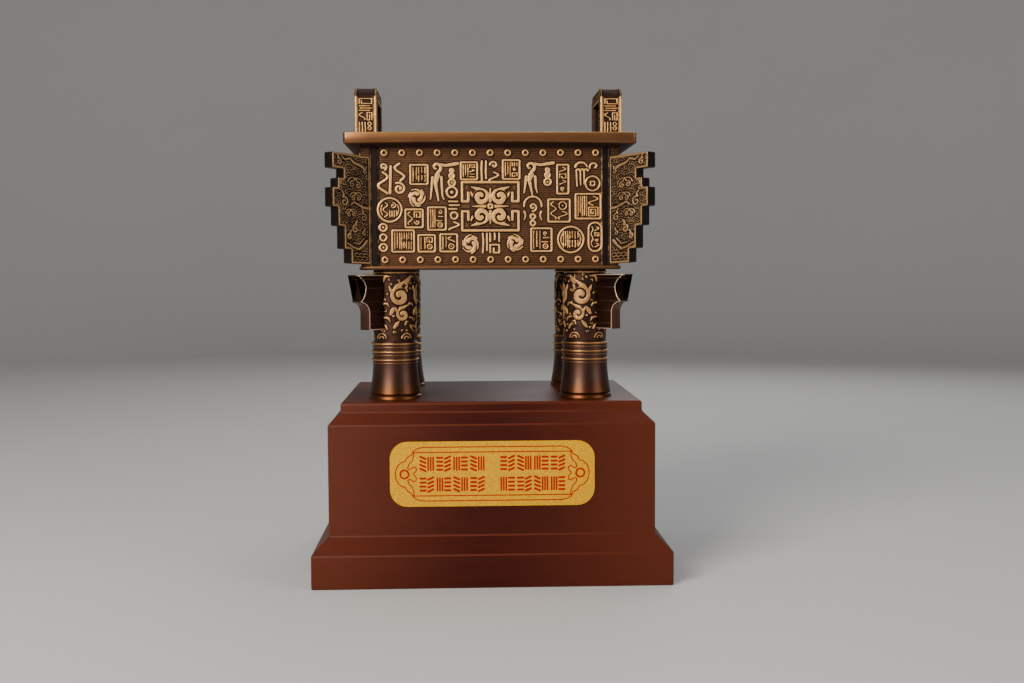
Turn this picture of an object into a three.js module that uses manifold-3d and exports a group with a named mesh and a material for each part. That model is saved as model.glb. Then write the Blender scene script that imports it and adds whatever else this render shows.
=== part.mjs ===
// A rectangular cast bronze ding on a lacquered wooden plinth with a name plate.
// Millimetres, +Z up. The origin is the middle of the plinth's underside, the long side runs
// along X and the front faces -Y.

import * as THREE from 'three';
import { mergeVertices } from 'three/addons/utils/BufferGeometryUtils.js';
import Module from 'manifold-3d';

const wasm = await Module();
wasm.setup();

// ---- Driving dimensions ----

// Plinth: a broad base, a 45-degree chamfer, the block, a 45-degree shoulder and a low tier.
const block = { width: 261, depth: 203, height: 88.8 };
const base = { out: 13, height: 26.6, chamfer: 13 };
const tier = { inset: 9.5, shoulder: 9, height: 8.2, round: 2.4 };
const edgeEase = 1.2;
const plinthHeight = base.height + base.chamfer + block.height + tier.shoulder + tier.height;

// Name plate on the block's front face.
const plate = { width: 163, height: 52, thickness: 0.8, corner: 14, centreHeight: 89.2 };

// Ding. Heights are from its feet.
const body = { width: 208, depth: 145, height: 102, wall: 4, floor: 5, lift: 105.5 };
const ledge = { out: 2, height: 3 };
const cornerStrip = { width: 4.5, out: 0.8, edge: 8.5 };
const rim = { width: 234.5, depth: 171, height: 7.8, sag: 1.5, corner: 3, fillet: 3, lip: 8 };
const rimUnderside = body.lift + body.height;
const rimTop = rimUnderside + rim.height;

const ear = {
  centre: 102.5, band: 18.2, width: 70, height: 42.6, shoulder: 12,
  openingWidth: 48, openingHeight: 31, openingShoulder: 6, border: 2.2, relief: 0.8,
  sunk: 2, strokes: 3, strokeDepth: 4,
};

// Corner flanges stand out along the diagonals, with a stepped outline. Each step is its reach
// from the body's corner and the height of its top above the body's underside, at the tip.
const flange = { thickness: 10.4, border: 2.2, relief: 0.8, root: 5.6, foot: 6.5, tip: 33.2, tilt: 3 };
const flangeSteps = [
  [14.8, 17.7], [21.5, 35.5], [27.6, 50.4], [33.2, 65.6], [27.6, 73.3], [21.7, 80.7], [33.2, 93.2],
];
const cloud = {
  turns: 0.9, outer: 7, inner: 2, width: 2.4, steps: 5, places: [[8.5, 34, 1], [12.5, 61, -1]],
};

// Legs: round, with a flared foot, three rings and a scalloped diagonal flange.
const leg = { x: 79, y: 50, radius: 17.4, collar: 18.4, foot: 22.2, sides: 12 };
const flare = { bottom: 3, top: 28.6, steps: 3, hollow: 1.8, step: 0.9 };
const rings = { heights: [31.9, 38.5, 45.1], out: 1.2, halfHeight: 1.3 };
const collarTop = 47.5;
const legFlange = {
  thickness: 11.5, tip: 45.5, waist: 36.2, cuspReach: 41.2, shank: 32.6,
  top: 101.6, waistHeight: 91, cusp: 79.5, shankTop: 72, bottom: 57, rib: 1.4, ribOut: 0.7,
};
// Scrolls on the front legs: radius, distance towards the middle of the vessel and height.
const scroll = { width: 2.6, out: 1.3, embed: 1.6, turns: 1.2, steps: 8 };
const scrolls = { large: [8.6, 5.4, 85.2], small: [5.8, 8, 69.3] };

// Studs along the top and bottom of every wall, rounder on the front.
const stud = { radius: 3.1, tip: 2, out: 2.4, pitch: 14.2, upper: 94.1, lower: 8.3, front: 13, side: 8 };

// Seals on the front wall: a raised frame, or free strokes with no frame. Places and sizes are
// x, height above the body's underside, width and height.
const sealLine = 1.3;
const sealOut = 1;
const seals = [
  ['free', -79.2, 73.2, 23.7, 26.6], ['square', -57.4, 76.8, 15.5, 17],
  ['free', -37.1, 70.6, 23.4, 31.9], ['square', -17.1, 79.7, 14.8, 15.3],
  ['free', 0, 79.8, 14.9, 17], ['square', 17, 80.7, 15.1, 16.6],
  ['free', 39.5, 73.8, 25.1, 26.5], ['square', 58.8, 72.9, 10.7, 24.8],
  ['free', 79.1, 75.3, 20.6, 24.5],
  ['round', -81.1, 48.5, 20.4, 20.4], ['free', -59.3, 58.3, 15.9, 17],
  ['square', -61.6, 41.6, 15.5, 16], ['square', -43.2, 41.4, 15.9, 19.6],
  ['free', -29.3, 43.8, 9.6, 24.2], ['free', 34.4, 46.7, 15.5, 23.7],
  ['square', 55.7, 47.7, 19, 19.6], ['square', 79.3, 51.1, 21.9, 21.4],
  ['free', -86.5, 26.3, 8.9, 23.3], ['square', -70.6, 23.4, 19.1, 18.7],
  ['square', -51.6, 21.5, 14.9, 14.9], ['square', -33.8, 21.8, 15.2, 15.5],
  ['free', -16.2, 20.8, 15.5, 17.4], ['free', 0.4, 21.5, 14.8, 17],
  ['free', 19.9, 21.6, 15.6, 15.9], ['square', 41.3, 24.1, 18.1, 19.9],
  ['round', 65.2, 24.2, 22.2, 22.2], ['square', 85, 26.3, 12.1, 24.6],
];
const cartouche = { centreHeight: 51.2, width: 47.6, height: 40.8, line: 2, notch: 6, inner: 17.8, bar: 22 };
const volutes = { turns: 0.95, outer: 5.9, inner: 1.8, width: 2.8, steps: 5, across: 7.4, up: 8 };
const plainFrame = { height: 54.8, share: 0.66 };

// ---- Helpers ----

const flipped = [1, -1];

// A closed three.js geometry as a solid that can be cut and joined.
function solid(geometry) {
  const bare = geometry.index ? geometry.toNonIndexed() : geometry.clone();
  bare.deleteAttribute('normal');
  bare.deleteAttribute('uv');
  const merged = mergeVertices(bare, 1e-4);
  return new wasm.Manifold(new wasm.Mesh({
    numProp: 3,
    vertProperties: new Float32Array(merged.attributes.position.array),
    triVerts: new Uint32Array(merged.index.array),
  }));
}

// A solid as a three.js geometry.
function geometryOf(manifold) {
  const mesh = manifold.getMesh();
  const geometry = new THREE.BufferGeometry();
  geometry.setAttribute('position', new THREE.BufferAttribute(mesh.vertProperties, 3));
  geometry.setIndex(new THREE.BufferAttribute(mesh.triVerts, 1));
  return geometry;
}

function joined(solids) {
  return solids.reduce((whole, piece) => whole.add(piece));
}

// A box from its middle in plan and the height of its underside.
function box(width, depth, height, x, y, bottom) {
  return new THREE.BoxGeometry(width, depth, height).translate(x, y, bottom + height / 2);
}

// A shape from corners [across, up, radius], each rounded by a curve that starts and ends
// one radius from it.
function roundedShape(corners) {
  const shape = new THREE.Shape();
  const count = corners.length;
  corners.forEach(([across, up, radius = 0], i) => {
    const corner = new THREE.Vector2(across, up);
    const before = new THREE.Vector2(...corners[(i + count - 1) % count].slice(0, 2));
    const after = new THREE.Vector2(...corners[(i + 1) % count].slice(0, 2));
    const start = corner.clone().add(before.sub(corner).setLength(radius));
    const end = corner.clone().add(after.sub(corner).setLength(radius));
    if (i === 0) shape.moveTo(start.x, start.y);
    else shape.lineTo(start.x, start.y);
    if (radius > 0) shape.quadraticCurveTo(corner.x, corner.y, end.x, end.y);
  });
  shape.closePath();
  return shape;
}

// A shape drawn in (across, up), extruded by depth and stood up: across stays X, up becomes Z
// and the extrusion runs along Y, centred.
function upright(shape, depth, curveSegments = 3) {
  const geometry = new THREE.ExtrudeGeometry(shape, { depth, bevelEnabled: false, curveSegments });
  return geometry.translate(0, 0, -depth / 2).rotateX(Math.PI / 2);
}

// A shape drawn in plan (X, Y), extruded upwards from bottom.
function flat(shape, height, bottom, curveSegments = 3) {
  const geometry = new THREE.ExtrudeGeometry(shape, { depth: height, bevelEnabled: false, curveSegments });
  return geometry.translate(0, 0, bottom);
}

// A block with sloping sides, from its sizes at the top and how much they shrink at the bottom.
function taperedBox(width, depth, shrink, height, top) {
  const side = (length) => solid(upright(new THREE.Shape([
    new THREE.Vector2(shrink - length / 2, top - height),
    new THREE.Vector2(length / 2 - shrink, top - height),
    new THREE.Vector2(length / 2, top), new THREE.Vector2(-length / 2, top),
  ]), 2 * (width + depth)));
  return side(width).intersect(side(depth).rotate([0, 0, 90]));
}

function rectangle(width, height, corner = 0) {
  return roundedShape([
    [-width / 2, -height / 2, corner], [width / 2, -height / 2, corner],
    [width / 2, height / 2, corner], [-width / 2, height / 2, corner],
  ]);
}

// An outline moved inwards by a distance, edge by edge. The outline runs anticlockwise.
function inset(points, distance) {
  const count = points.length;
  const edges = points.map((start, i) => {
    const along = points[(i + 1) % count].clone().sub(start).normalize();
    const inward = new THREE.Vector2(-along.y, along.x).multiplyScalar(distance);
    return { start: start.clone().add(inward), along };
  });
  return edges.map((edge, i) => {
    const previous = edges[(i + count - 1) % count];
    const gap = edge.start.clone().sub(previous.start);
    const t = gap.cross(edge.along) / previous.along.cross(edge.along);
    return previous.start.clone().addScaledVector(previous.along, t);
  });
}

// A ribbon along a spiral about the origin, from the outer radius in to the inner one.
function spiralRibbon(turns, outer, inner, width, steps, hand) {
  const points = [];
  const edge = (radiusShift) => (i) => {
    const t = i / steps;
    const angle = Math.PI / 2 + hand * 2 * Math.PI * turns * t;
    const radius = outer + (inner - outer) * t + radiusShift;
    return new THREE.Vector2(radius * Math.cos(angle), radius * Math.sin(angle));
  };
  const outerEdge = edge(width / 2);
  const innerEdge = edge(-width / 2);
  for (let i = 0; i <= steps; i += 1) points.push(outerEdge(i));
  for (let i = steps; i >= 0; i -= 1) points.push(innerEdge(i));
  return new THREE.Shape(points);
}

// ---- Plinth ----

// Half of the section is mirrored; the same section serves both directions, so that the
// mouldings meet in mitres at the corners.
function plinthSection(blockHalf) {
  const blockTop = base.height + base.chamfer + block.height;
  const shoulderTop = blockTop + tier.shoulder;
  const right = [
    [blockHalf + base.out, 0, edgeEase],
    [blockHalf + base.out, base.height, edgeEase],
    [blockHalf, base.height + base.chamfer, edgeEase],
    [blockHalf, blockTop, edgeEase],
    [blockHalf - tier.inset, shoulderTop, edgeEase],
    [blockHalf - tier.inset, plinthHeight, tier.round],
  ];
  const left = right.map(([across, up, radius]) => [-across, up, radius]).reverse();
  return roundedShape([...right, ...left]);
}

function makePlinth() {
  const reach = block.width + block.depth;
  const alongY = upright(plinthSection(block.width / 2), reach);
  const alongX = upright(plinthSection(block.depth / 2), reach).rotateZ(Math.PI / 2);
  return geometryOf(solid(alongY).intersect(solid(alongX)));
}

function makePlate() {
  const outline = rectangle(plate.width, plate.height, plate.corner);
  const front = -block.depth / 2 - plate.thickness / 2;
  return upright(outline, plate.thickness, 6).translate(0, front, plate.centreHeight);
}

// ---- Ding: body and rim ----

function bodyShell() {
  const { width, depth, height, lift } = body;
  const walls = box(width, depth, height, 0, 0, lift + 1);
  const foot = box(width + 2 * ledge.out, depth + 2 * ledge.out, ledge.height, 0, 0, lift);
  return [solid(walls), solid(foot)];
}

function cornerStrips() {
  const { width, out, edge } = cornerStrip;
  const height = stud.upper;
  const long = box(width, body.depth + 2 * out, height, 0, 0, body.lift + 1);
  const short = box(body.width + 2 * out, width, height, 0, 0, body.lift + 1);
  return flipped.flatMap((side) => [
    solid(long.clone().translate(side * ((body.width - width) / 2 - edge), 0, 0)),
    solid(short.clone().translate(0, side * ((body.depth - width) / 2 - edge), 0)),
  ]);
}

// The rim plate hangs a little at its two ends, and a fillet carries it to the walls.
function rimPlate() {
  const half = rim.width / 2;
  const section = new THREE.Shape();
  section.moveTo(-half - 1, rimUnderside - rim.sag);
  section.quadraticCurveTo(0, rimUnderside + rim.sag, half + 1, rimUnderside - rim.sag);
  section.lineTo(half + 1, rimTop);
  section.lineTo(-half - 1, rimTop);
  const slab = solid(upright(section, rim.depth, 8));
  const outline = rectangle(rim.width, rim.depth, rim.corner);
  const plan = solid(flat(outline, rim.height * 2, rimUnderside - rim.height));
  const spread = rim.fillet + 1;
  const [width, depth] = [body.width + 2 * spread, body.depth + 2 * spread];
  return [slab.intersect(plan), taperedBox(width, depth, spread, spread, rimUnderside + 1)];
}

// The space inside the walls, and the mouth, which a lip inside the rim makes a little narrower.
function hollow() {
  const width = body.width - 2 * body.wall;
  const depth = body.depth - 2 * body.wall;
  const inside = box(width, depth, body.height - body.floor, 0, 0, body.lift + body.floor);
  const mouth = box(width - 2 * rim.lip, depth - 2 * rim.lip, body.height, 0, 0, rimUnderside - 10);
  return solid(inside).add(solid(mouth));
}

// ---- Ding: ears ----

function earShape(shrink) {
  const half = ear.width / 2 - shrink;
  const top = rimTop + ear.height - shrink;
  const foot = rimTop - ear.sunk;
  const outline = roundedShape([
    [-half, foot], [half, foot], [half, top, ear.shoulder], [-half, top, ear.shoulder],
  ]);
  const gap = ear.openingWidth / 2;
  outline.holes.push(roundedShape([
    [-gap, rimTop], [gap, rimTop],
    [gap, rimTop + ear.openingHeight, ear.openingShoulder],
    [-gap, rimTop + ear.openingHeight, ear.openingShoulder],
  ]));
  return outline;
}

// An upside-down U. Its band is sunk between two raised borders, with short strokes on the
// front and back faces.
function ears() {
  const core = upright(earShape(ear.relief), ear.band - 2).rotateZ(Math.PI / 2);
  const edge = upright(earShape(0), ear.border).rotateZ(Math.PI / 2);
  const edgePlace = ear.band / 2 - ear.border / 2;
  const strokeWidth = ear.band - 4 * ear.border;
  const strokePitch = (ear.height - ear.shoulder) / ear.strokes;
  const strokeFace = (ear.width - ear.strokeDepth) / 2 - ear.relief / 2;
  return flipped.flatMap((side) => {
    const place = side * ear.centre;
    const pieces = [core.clone().translate(place, 0, 0)];
    for (const hand of flipped) pieces.push(edge.clone().translate(place + hand * edgePlace, 0, 0));
    for (let i = 0; i < ear.strokes; i += 1) {
      const height = rimTop + (i + 0.5) * strokePitch;
      for (const face of flipped) {
        pieces.push(box(strokeWidth, ear.strokeDepth, sealLine, place, face * strokeFace, height));
      }
    }
    return pieces.map(solid);
  });
}

// ---- Ding: corner flanges ----

// Outline in (reach, height above the body's underside), anticlockwise from the root's foot.
// Its level edges rise outwards a little.
function flangeOutline() {
  const corners = [[-flange.root, flange.foot]];
  let bottom = flange.foot;
  for (const [reach, top] of flangeSteps) {
    corners.push([reach, bottom], [reach, top]);
    bottom = top;
  }
  corners.push([-flange.root, bottom]);
  const rise = Math.tan(THREE.MathUtils.degToRad(flange.tilt));
  return corners.map(([reach, height]) => new THREE.Vector2(reach, height + rise * (reach - flange.tip)));
}

function onDiagonal(geometry, x, y, z, sideX, sideY) {
  return geometry.clone().rotateZ(Math.atan2(sideY, sideX)).translate(sideX * x, sideY * y, z);
}

function cornerFlanges() {
  const outline = flangeOutline();
  const coreShape = new THREE.Shape(inset(outline, flange.border / 2));
  const core = upright(coreShape, flange.thickness - 2 * flange.relief);
  const borderShape = new THREE.Shape(outline);
  borderShape.holes.push(new THREE.Path(inset(outline, flange.border)));
  const border = upright(borderShape, flange.thickness);
  const clouds = cloudRelief();
  return flipped.flatMap((sideX) => flipped.flatMap((sideY) => [core, border, ...clouds].map(
    (piece) => solid(onDiagonal(piece, body.width / 2, body.depth / 2, body.lift, sideX, sideY)),
  )));
}

// Cloud scrolls on both faces of a flange.
function cloudRelief() {
  const { turns, outer, inner, width, steps, places } = cloud;
  return places.map(([reach, height, hand]) => {
    const volute = spiralRibbon(turns, outer, inner, width, steps, hand);
    return upright(volute, flange.thickness - flange.relief).translate(reach, 0, height);
  });
}

// ---- Ding: legs ----

function legColumn() {
  const profile = [[0, 0], [leg.foot, 0], [leg.foot, 2.2]];
  for (let i = 0; i <= flare.steps; i += 1) {
    const t = i / flare.steps;
    const spread = (leg.foot - leg.collar - flare.step) * (1 - t) ** flare.hollow;
    profile.push([leg.collar + spread, flare.bottom + t * (flare.top - flare.bottom)]);
  }
  for (const height of rings.heights) {
    profile.push([leg.collar, height - rings.halfHeight], [leg.collar + rings.out, height]);
    profile.push([leg.collar, height + rings.halfHeight]);
  }
  profile.push([leg.collar, collarTop], [leg.radius, collarTop + 1.5]);
  profile.push([leg.radius, body.lift + body.floor / 2], [0, body.lift + body.floor / 2]);
  const points = profile.map(([radius, height]) => new THREE.Vector2(radius, height));
  return new THREE.LatheGeometry(points, leg.sides).rotateX(Math.PI / 2);
}

function legFlangeShape() {
  const { tip, waist, cuspReach, shank, top, waistHeight, cusp, shankTop, bottom } = legFlange;
  const shape = new THREE.Shape();
  shape.moveTo(leg.radius / 2, bottom);
  shape.lineTo(shank, bottom);
  shape.lineTo(shank, shankTop);
  shape.quadraticCurveTo(shank + 1.5, cusp - 1, cuspReach, cusp);
  shape.quadraticCurveTo(waist + 1, cusp + 3, waist, waistHeight);
  shape.quadraticCurveTo(waist, top - 5, tip, top);
  shape.lineTo(leg.radius / 2, top);
  return shape;
}

// Thin ribs cross the flange's faces at the heights where its outline turns.
function legFlangeRibs() {
  const depth = legFlange.thickness + 2 * legFlange.ribOut;
  const ribs = [
    [legFlange.shank, legFlange.shankTop - legFlange.rib],
    [legFlange.cuspReach - 3, legFlange.cusp - legFlange.rib / 2],
    [legFlange.waist, legFlange.waistHeight],
  ];
  return ribs.map(([reach, bottom]) => {
    const length = reach - leg.radius / 2;
    return box(length, depth, legFlange.rib, leg.radius / 2 + length / 2, 0, bottom);
  });
}

// Bends a flat relief drawn in (across, up) around the leg's front, facing -Y.
function wrapped(shape, across, height) {
  const depth = scroll.embed + scroll.out;
  const geometry = new THREE.ExtrudeGeometry(shape, { depth, bevelEnabled: false, curveSegments: 4 });
  const position = geometry.attributes.position;
  for (let i = 0; i < position.count; i += 1) {
    const angle = (position.getX(i) + across) / leg.radius;
    const radius = leg.radius - scroll.embed + position.getZ(i);
    position.setXYZ(i, radius * Math.sin(angle), -radius * Math.cos(angle), height + position.getY(i));
  }
  return geometry;
}

// A large scroll above a small one, on the side of the leg that is nearer the middle.
function legScrolls(hand) {
  const { turns, width, steps } = scroll;
  return Object.values(scrolls).map(([radius, inboard, height], i) => {
    const ribbon = spiralRibbon(turns, radius, radius / (5 - i), width * (1 - 0.2 * i), steps - 2 * i, hand);
    return wrapped(ribbon, -hand * inboard, height);
  });
}

function legs() {
  const column = legColumn();
  const wing = upright(legFlangeShape(), legFlange.thickness, 5);
  const wings = [wing, ...legFlangeRibs()];
  return flipped.flatMap((sideX) => flipped.flatMap((sideY) => {
    const place = [sideX * leg.x, sideY * leg.y, 0];
    const scrolls = sideY < 0 ? legScrolls(sideX).map((piece) => piece.translate(...place)) : [];
    return [
      column.clone().translate(...place),
      ...wings.map((piece) => onDiagonal(piece, leg.x, leg.y, 0, sideX, sideY)),
      ...scrolls,
    ].map(solid);
  }));
}

// ---- Ding: studs and seals ----

// An upper and a lower row of studs on one wall, turned from the front to the wall's own side.
function studRow(count, wallFace, turn, sides) {
  const pieces = [];
  const cone = new THREE.CylinderGeometry(stud.radius, stud.tip, stud.out + 1, sides);
  for (let i = 0; i < count; i += 1) {
    const across = (i - (count - 1) / 2) * stud.pitch;
    for (const height of [stud.upper, stud.lower]) {
      const piece = cone.clone().translate(across, -(stud.out - 1) / 2 - wallFace, 0);
      pieces.push(solid(piece.translate(0, 0, body.lift + height).rotateZ(turn)));
    }
  }
  return pieces;
}

function studs() {
  const halfTurn = Math.PI;
  return [
    ...studRow(stud.front, body.depth / 2, 0, 6),
    ...studRow(stud.front, body.depth / 2, halfTurn, 4),
    ...studRow(stud.side, body.width / 2, halfTurn / 2, 4),
    ...studRow(stud.side, body.width / 2, -halfTurn / 2, 4),
  ];
}

// A bar on the front wall, from its middle, width and height.
function bar(x, z, width, height) {
  const depth = sealOut + 1;
  const y = -body.depth / 2 - sealOut + depth / 2;
  return box(width, depth, height, x, y, body.lift + z - height / 2);
}

// An outline standing out of the front wall, turned upside down on request.
function raised(outline, x, z, turned = false) {
  const depth = sealOut + 1;
  const y = -body.depth / 2 - sealOut + depth / 2;
  const piece = upright(outline, depth, 6);
  if (turned) piece.rotateY(Math.PI);
  return piece.translate(x, y, body.lift + z);
}

// A ring-shaped outline on the front wall.
function frame(outline, hole, x, z) {
  outline.holes.push(hole);
  return raised(outline, x, z);
}

function squareSeal(x, z, width, height) {
  const inner = rectangle(width - 2 * sealLine, height - 2 * sealLine);
  return [frame(rectangle(width, height), inner, x, z)];
}

function roundSeal(x, z, width) {
  const circle = (radius) => new THREE.Shape().absellipse(0, 0, radius, radius, 0, 2 * Math.PI);
  const ring = frame(circle(width / 2), circle(width / 2 - sealLine), x, z);
  return [ring, bar(x, z, sealLine * 1.6, width * 0.5)];
}

// Free strokes: a level bar over three hanging ones.
function freeSeal(x, z, width, height) {
  const line = sealLine * 1.3;
  const top = z + height / 2 - line / 2;
  const fall = height * 0.62;
  const low = z - height / 2 + fall / 2;
  return [
    bar(x, top - height * 0.1, width, line),
    ...[-0.36, 0, 0.36].map((share) => bar(x + share * width, low, line, fall)),
  ];
}

// The middle cartouche is open halfway up each side, where two short bars lead in to upright
// ones, and holds four bold volutes.
function middleCartouche() {
  const { centreHeight: z, width, height, line, notch, inner, bar: upHeight } = cartouche;
  const pieces = [];
  for (const side of flipped) {
    pieces.push(bar(0, z + side * (height - line) / 2, width, line));
    pieces.push(bar(side * inner, z, line, upHeight));
    for (const end of flipped) {
      const post = (height - notch) / 2;
      pieces.push(bar(side * (width - line) / 2, z + end * (notch + post) / 2, line, post));
      const lead = width / 2 - inner;
      pieces.push(bar(side * (inner + lead / 2), z + end * (notch / 2 + line / 2), lead, line));
      const { turns, outer, inner: eye, width: band, steps, across, up } = volutes;
      const volute = spiralRibbon(turns, outer, eye, band, steps, side * end);
      pieces.push(raised(volute, side * across, z + end * up, end < 0));
    }
  }
  return pieces;
}

function frontRelief() {
  const forms = { square: squareSeal, round: roundSeal, free: freeSeal };
  const marks = seals.flatMap(([form, x, z, width, height]) => forms[form](x, z, width, height));
  return [...marks, ...middleCartouche()].map(solid);
}

// The other three walls carry one plain raised frame each.
function plainFrames() {
  const { height, share } = plainFrame;
  const ring = (width) => {
    const inner = rectangle(width - 2 * cartouche.line, height - 2 * cartouche.line);
    return frame(rectangle(width, height), inner, 0, cartouche.centreHeight);
  };
  const back = ring(body.width * share).rotateZ(Math.PI);
  const sideShift = (body.width - body.depth) / 2;
  const end = ring(body.depth * share).translate(0, -sideShift, 0);
  return [back, end.clone().rotateZ(Math.PI / 2), end.rotateZ(-Math.PI / 2)].map(solid);
}

function makeDing() {
  const cast = joined([
    ...bodyShell(), ...cornerStrips(), ...rimPlate(), ...ears(), ...cornerFlanges(), ...legs(),
    ...studs(), ...frontRelief(), ...plainFrames(),
  ]);
  return geometryOf(cast.subtract(hollow()));
}

// ---- Assembly ----

const bronze = new THREE.MeshStandardMaterial({ color: 0x9a6a3c, roughness: 0.42, metalness: 0.9 });
const lacquer = new THREE.MeshStandardMaterial({ color: 0x592111, roughness: 0.35, metalness: 0 });
const gilt = new THREE.MeshStandardMaterial({ color: 0xd7aa32, roughness: 0.5, metalness: 0.3 });

function named(name, geometry, material) {
  const mesh = new THREE.Mesh(geometry, material);
  mesh.name = name;
  return mesh;
}

const plinth = named('plinth', makePlinth(), lacquer);
const namePlate = named('name_plate', makePlate(), gilt);
const ding = named('ding', makeDing(), bronze);
ding.position.z = plinthHeight;

const group = new THREE.Group();
group.add(plinth, namePlate, ding);

export default group;
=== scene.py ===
"""Looks of a rectangular bronze ding on its lacquered plinth: every surface, the print and the light.

Sizes are in millimetres until a mesh is made; the frame and Blender are in metres.
"""

import math
from functools import partialmethod

import bpy
import numpy as np
from mathutils import Euler, Matrix, Vector


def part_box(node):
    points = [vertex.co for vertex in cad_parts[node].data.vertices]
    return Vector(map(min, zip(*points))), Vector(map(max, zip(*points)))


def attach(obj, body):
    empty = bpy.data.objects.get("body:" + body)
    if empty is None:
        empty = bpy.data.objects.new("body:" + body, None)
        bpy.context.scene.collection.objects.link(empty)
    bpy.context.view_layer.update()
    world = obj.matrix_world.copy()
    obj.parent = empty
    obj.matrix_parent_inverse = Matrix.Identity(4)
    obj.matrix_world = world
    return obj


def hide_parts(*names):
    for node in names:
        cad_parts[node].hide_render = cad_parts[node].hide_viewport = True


MM = 0.001
BODY = "root"

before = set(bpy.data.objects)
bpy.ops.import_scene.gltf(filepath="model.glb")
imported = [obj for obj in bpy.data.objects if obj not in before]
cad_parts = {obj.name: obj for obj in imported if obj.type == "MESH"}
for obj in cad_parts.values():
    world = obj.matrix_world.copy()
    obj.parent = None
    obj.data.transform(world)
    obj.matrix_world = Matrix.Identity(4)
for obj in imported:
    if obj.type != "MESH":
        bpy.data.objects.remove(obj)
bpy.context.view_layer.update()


def node_box(name):
    """Lowest and highest corner of a CAD node, in millimetres."""
    low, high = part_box(name)
    return np.array(low) / MM, np.array(high) / MM


# ---- Sizes ----

plinth_half_x, plinth_half_y, stand = node_box("plinth")[1]
plate_low, plate_high = node_box("name_plate")

# The vessel. Heights are from its feet.
WIDTH, DEPTH, LIFT, WALL_HEIGHT = 208.0, 145.0, 105.5, 102.0
WALL, FLOOR, LIP = 4.0, 5.0, 8.0
LEDGE_OUT, LEDGE_HEIGHT = 2.0, 3.0
RIM_WIDTH, RIM_DEPTH, RIM_HEIGHT, RIM_SAG, RIM_FILLET = 234.5, 171.0, 7.8, 1.5, 3.0
RIM_UNDER = LIFT + WALL_HEIGHT
RIM_TOP = RIM_UNDER + RIM_HEIGHT

EAR_X, EAR_BAND, EAR_WIDTH, EAR_HEIGHT, EAR_THICK, EAR_SHOULDER = 102.5, 18.2, 70.0, 42.6, 11.0, 12.0

FLANGE_THICK, FLANGE_BORDER, FLANGE_SUNK, FLANGE_ROOT, FLANGE_FOOT = 10.4, 1.8, 0.8, 5.6, 6.5
FLANGE_TIP, FLANGE_RISE = 33.2, math.tan(math.radians(3))
# The stepped edge: each step's reach from the vessel's corner, and its top above the underside.
FLANGE_STEPS = [
    (14.8, 17.7), (21.5, 35.5), (27.6, 50.4), (33.2, 65.6), (27.6, 73.3), (21.7, 80.7), (33.2, 93.2),
]

LEG_X, LEG_Y, LEG_RADIUS, COLLAR_RADIUS, FOOT_RADIUS = 79.0, 50.0, 17.4, 18.4, 22.2
COLLAR_TOP, FLARE_TOP, FIRST_RING, RING_PITCH = 47.5, 28.6, 31.9, 6.6
WING_THICK, WING_TIP, WING_WAIST, WING_CUSP_REACH, WING_SHANK = 11.5, 45.5, 36.2, 41.2, 32.6
WING_TOP, WING_WAIST_HEIGHT, WING_CUSP, WING_SHANK_TOP, WING_BOTTOM = 101.6, 91.0, 79.5, 72.0, 57.0

STUD_RADIUS, STUD_PITCH, STUD_UPPER, STUD_LOWER = 3.1, 14.2, 94.1, 8.3
STUDS_LONG, STUDS_SHORT = 13, 8

# The walls' relief: its lowest and highest line, and the pitch of the lines that score its ground.
SHEET_LOW, SHEET_HIGH, SCORE_PITCH = 2.5, 101, 1.42

# Seals on the front: form, then x, height above the vessel's underside, width and height.
SEALS = [
    ("coils", -79.2, 73.2, 23.7, 26.6), ("square", -57.4, 76.8, 15.5, 17),
    ("plume", -37.1, 70.6, 23.4, 31.9), ("square", -17.1, 79.7, 14.8, 15.3),
    ("free", 0, 79.8, 14.9, 17), ("square", 17, 80.7, 15.1, 16.6),
    ("plume", 39.5, 73.8, 25.1, 26.5), ("square", 58.8, 72.9, 10.7, 24.8),
    ("coin", 79.1, 75.3, 20.6, 24.5),
    ("round", -81.1, 48.5, 20.4, 20.4), ("swirl", -59.3, 58.3, 15.9, 17),
    ("square", -61.6, 41.6, 15.5, 16), ("square", -43.2, 41.4, 15.9, 19.6),
    ("free", -29.3, 43.8, 9.6, 24.2), ("arch", 34.4, 46.7, 15.5, 23.7),
    ("square", 55.7, 47.7, 19, 19.6), ("square", 79.3, 51.1, 21.9, 21.4),
    ("free", -86.5, 26.3, 8.9, 23.3), ("square", -70.6, 23.4, 19.1, 18.7),
    ("square", -51.6, 21.5, 14.9, 14.9), ("square", -33.8, 21.8, 15.2, 15.5),
    ("swirl", -16.2, 20.8, 15.5, 17.4), ("free", 0.4, 21.5, 14.8, 17),
    ("swirl", 19.9, 21.6, 15.6, 15.9), ("square", 41.3, 24.1, 18.1, 19.9),
    ("round", 65.2, 24.2, 22.2, 22.2), ("capsule", 85, 26.3, 12.1, 24.6),
]
CARTOUCHE_Z, CARTOUCHE_W, CARTOUCHE_H, CARTOUCHE_LINE, CARTOUCHE_NOTCH = 51.2, 47.6, 40.8, 2.0, 6.0

# The plinth's moulding, from base to tier: how far inside the base, and height.
PLINTH_STEPS = [(0, 0), (0, 26.6), (13, 39.6), (13, 128.4), (22.5, 137.4), (22.5, stand)]
PLINTH_EASE, TIER_EASE, PLINTH_CORNER = 1.1, 2.4, 1.6

# The plate's corners, and its printed marks: half the gap between the groups and half a mark,
# then pitch, half the rows' distance, and size.
PLATE_CORNER = 14.0
MARK_START, MARK_PITCH, MARK_ROW, MARK_SIZE, MARKS = 12, 13.4, 8.3, 11.4, 4

SIDES = (1, -1)
CORNERS = [(x, y) for x in SIDES for y in SIDES]


def corner_name(kind, side_x, side_y):
    return f"{kind}_{'front' if side_y < 0 else 'back'}_{'right' if side_x > 0 else 'left'}"


# The mesh attribute that the materials read: how far inside raised work a point lies; on plain castings and
# the plinth it also sets painted shade (negative) and rubbed edges with a painted highlight (positive).
RAISED = "raised"


# ---- Node trees ----


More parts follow.
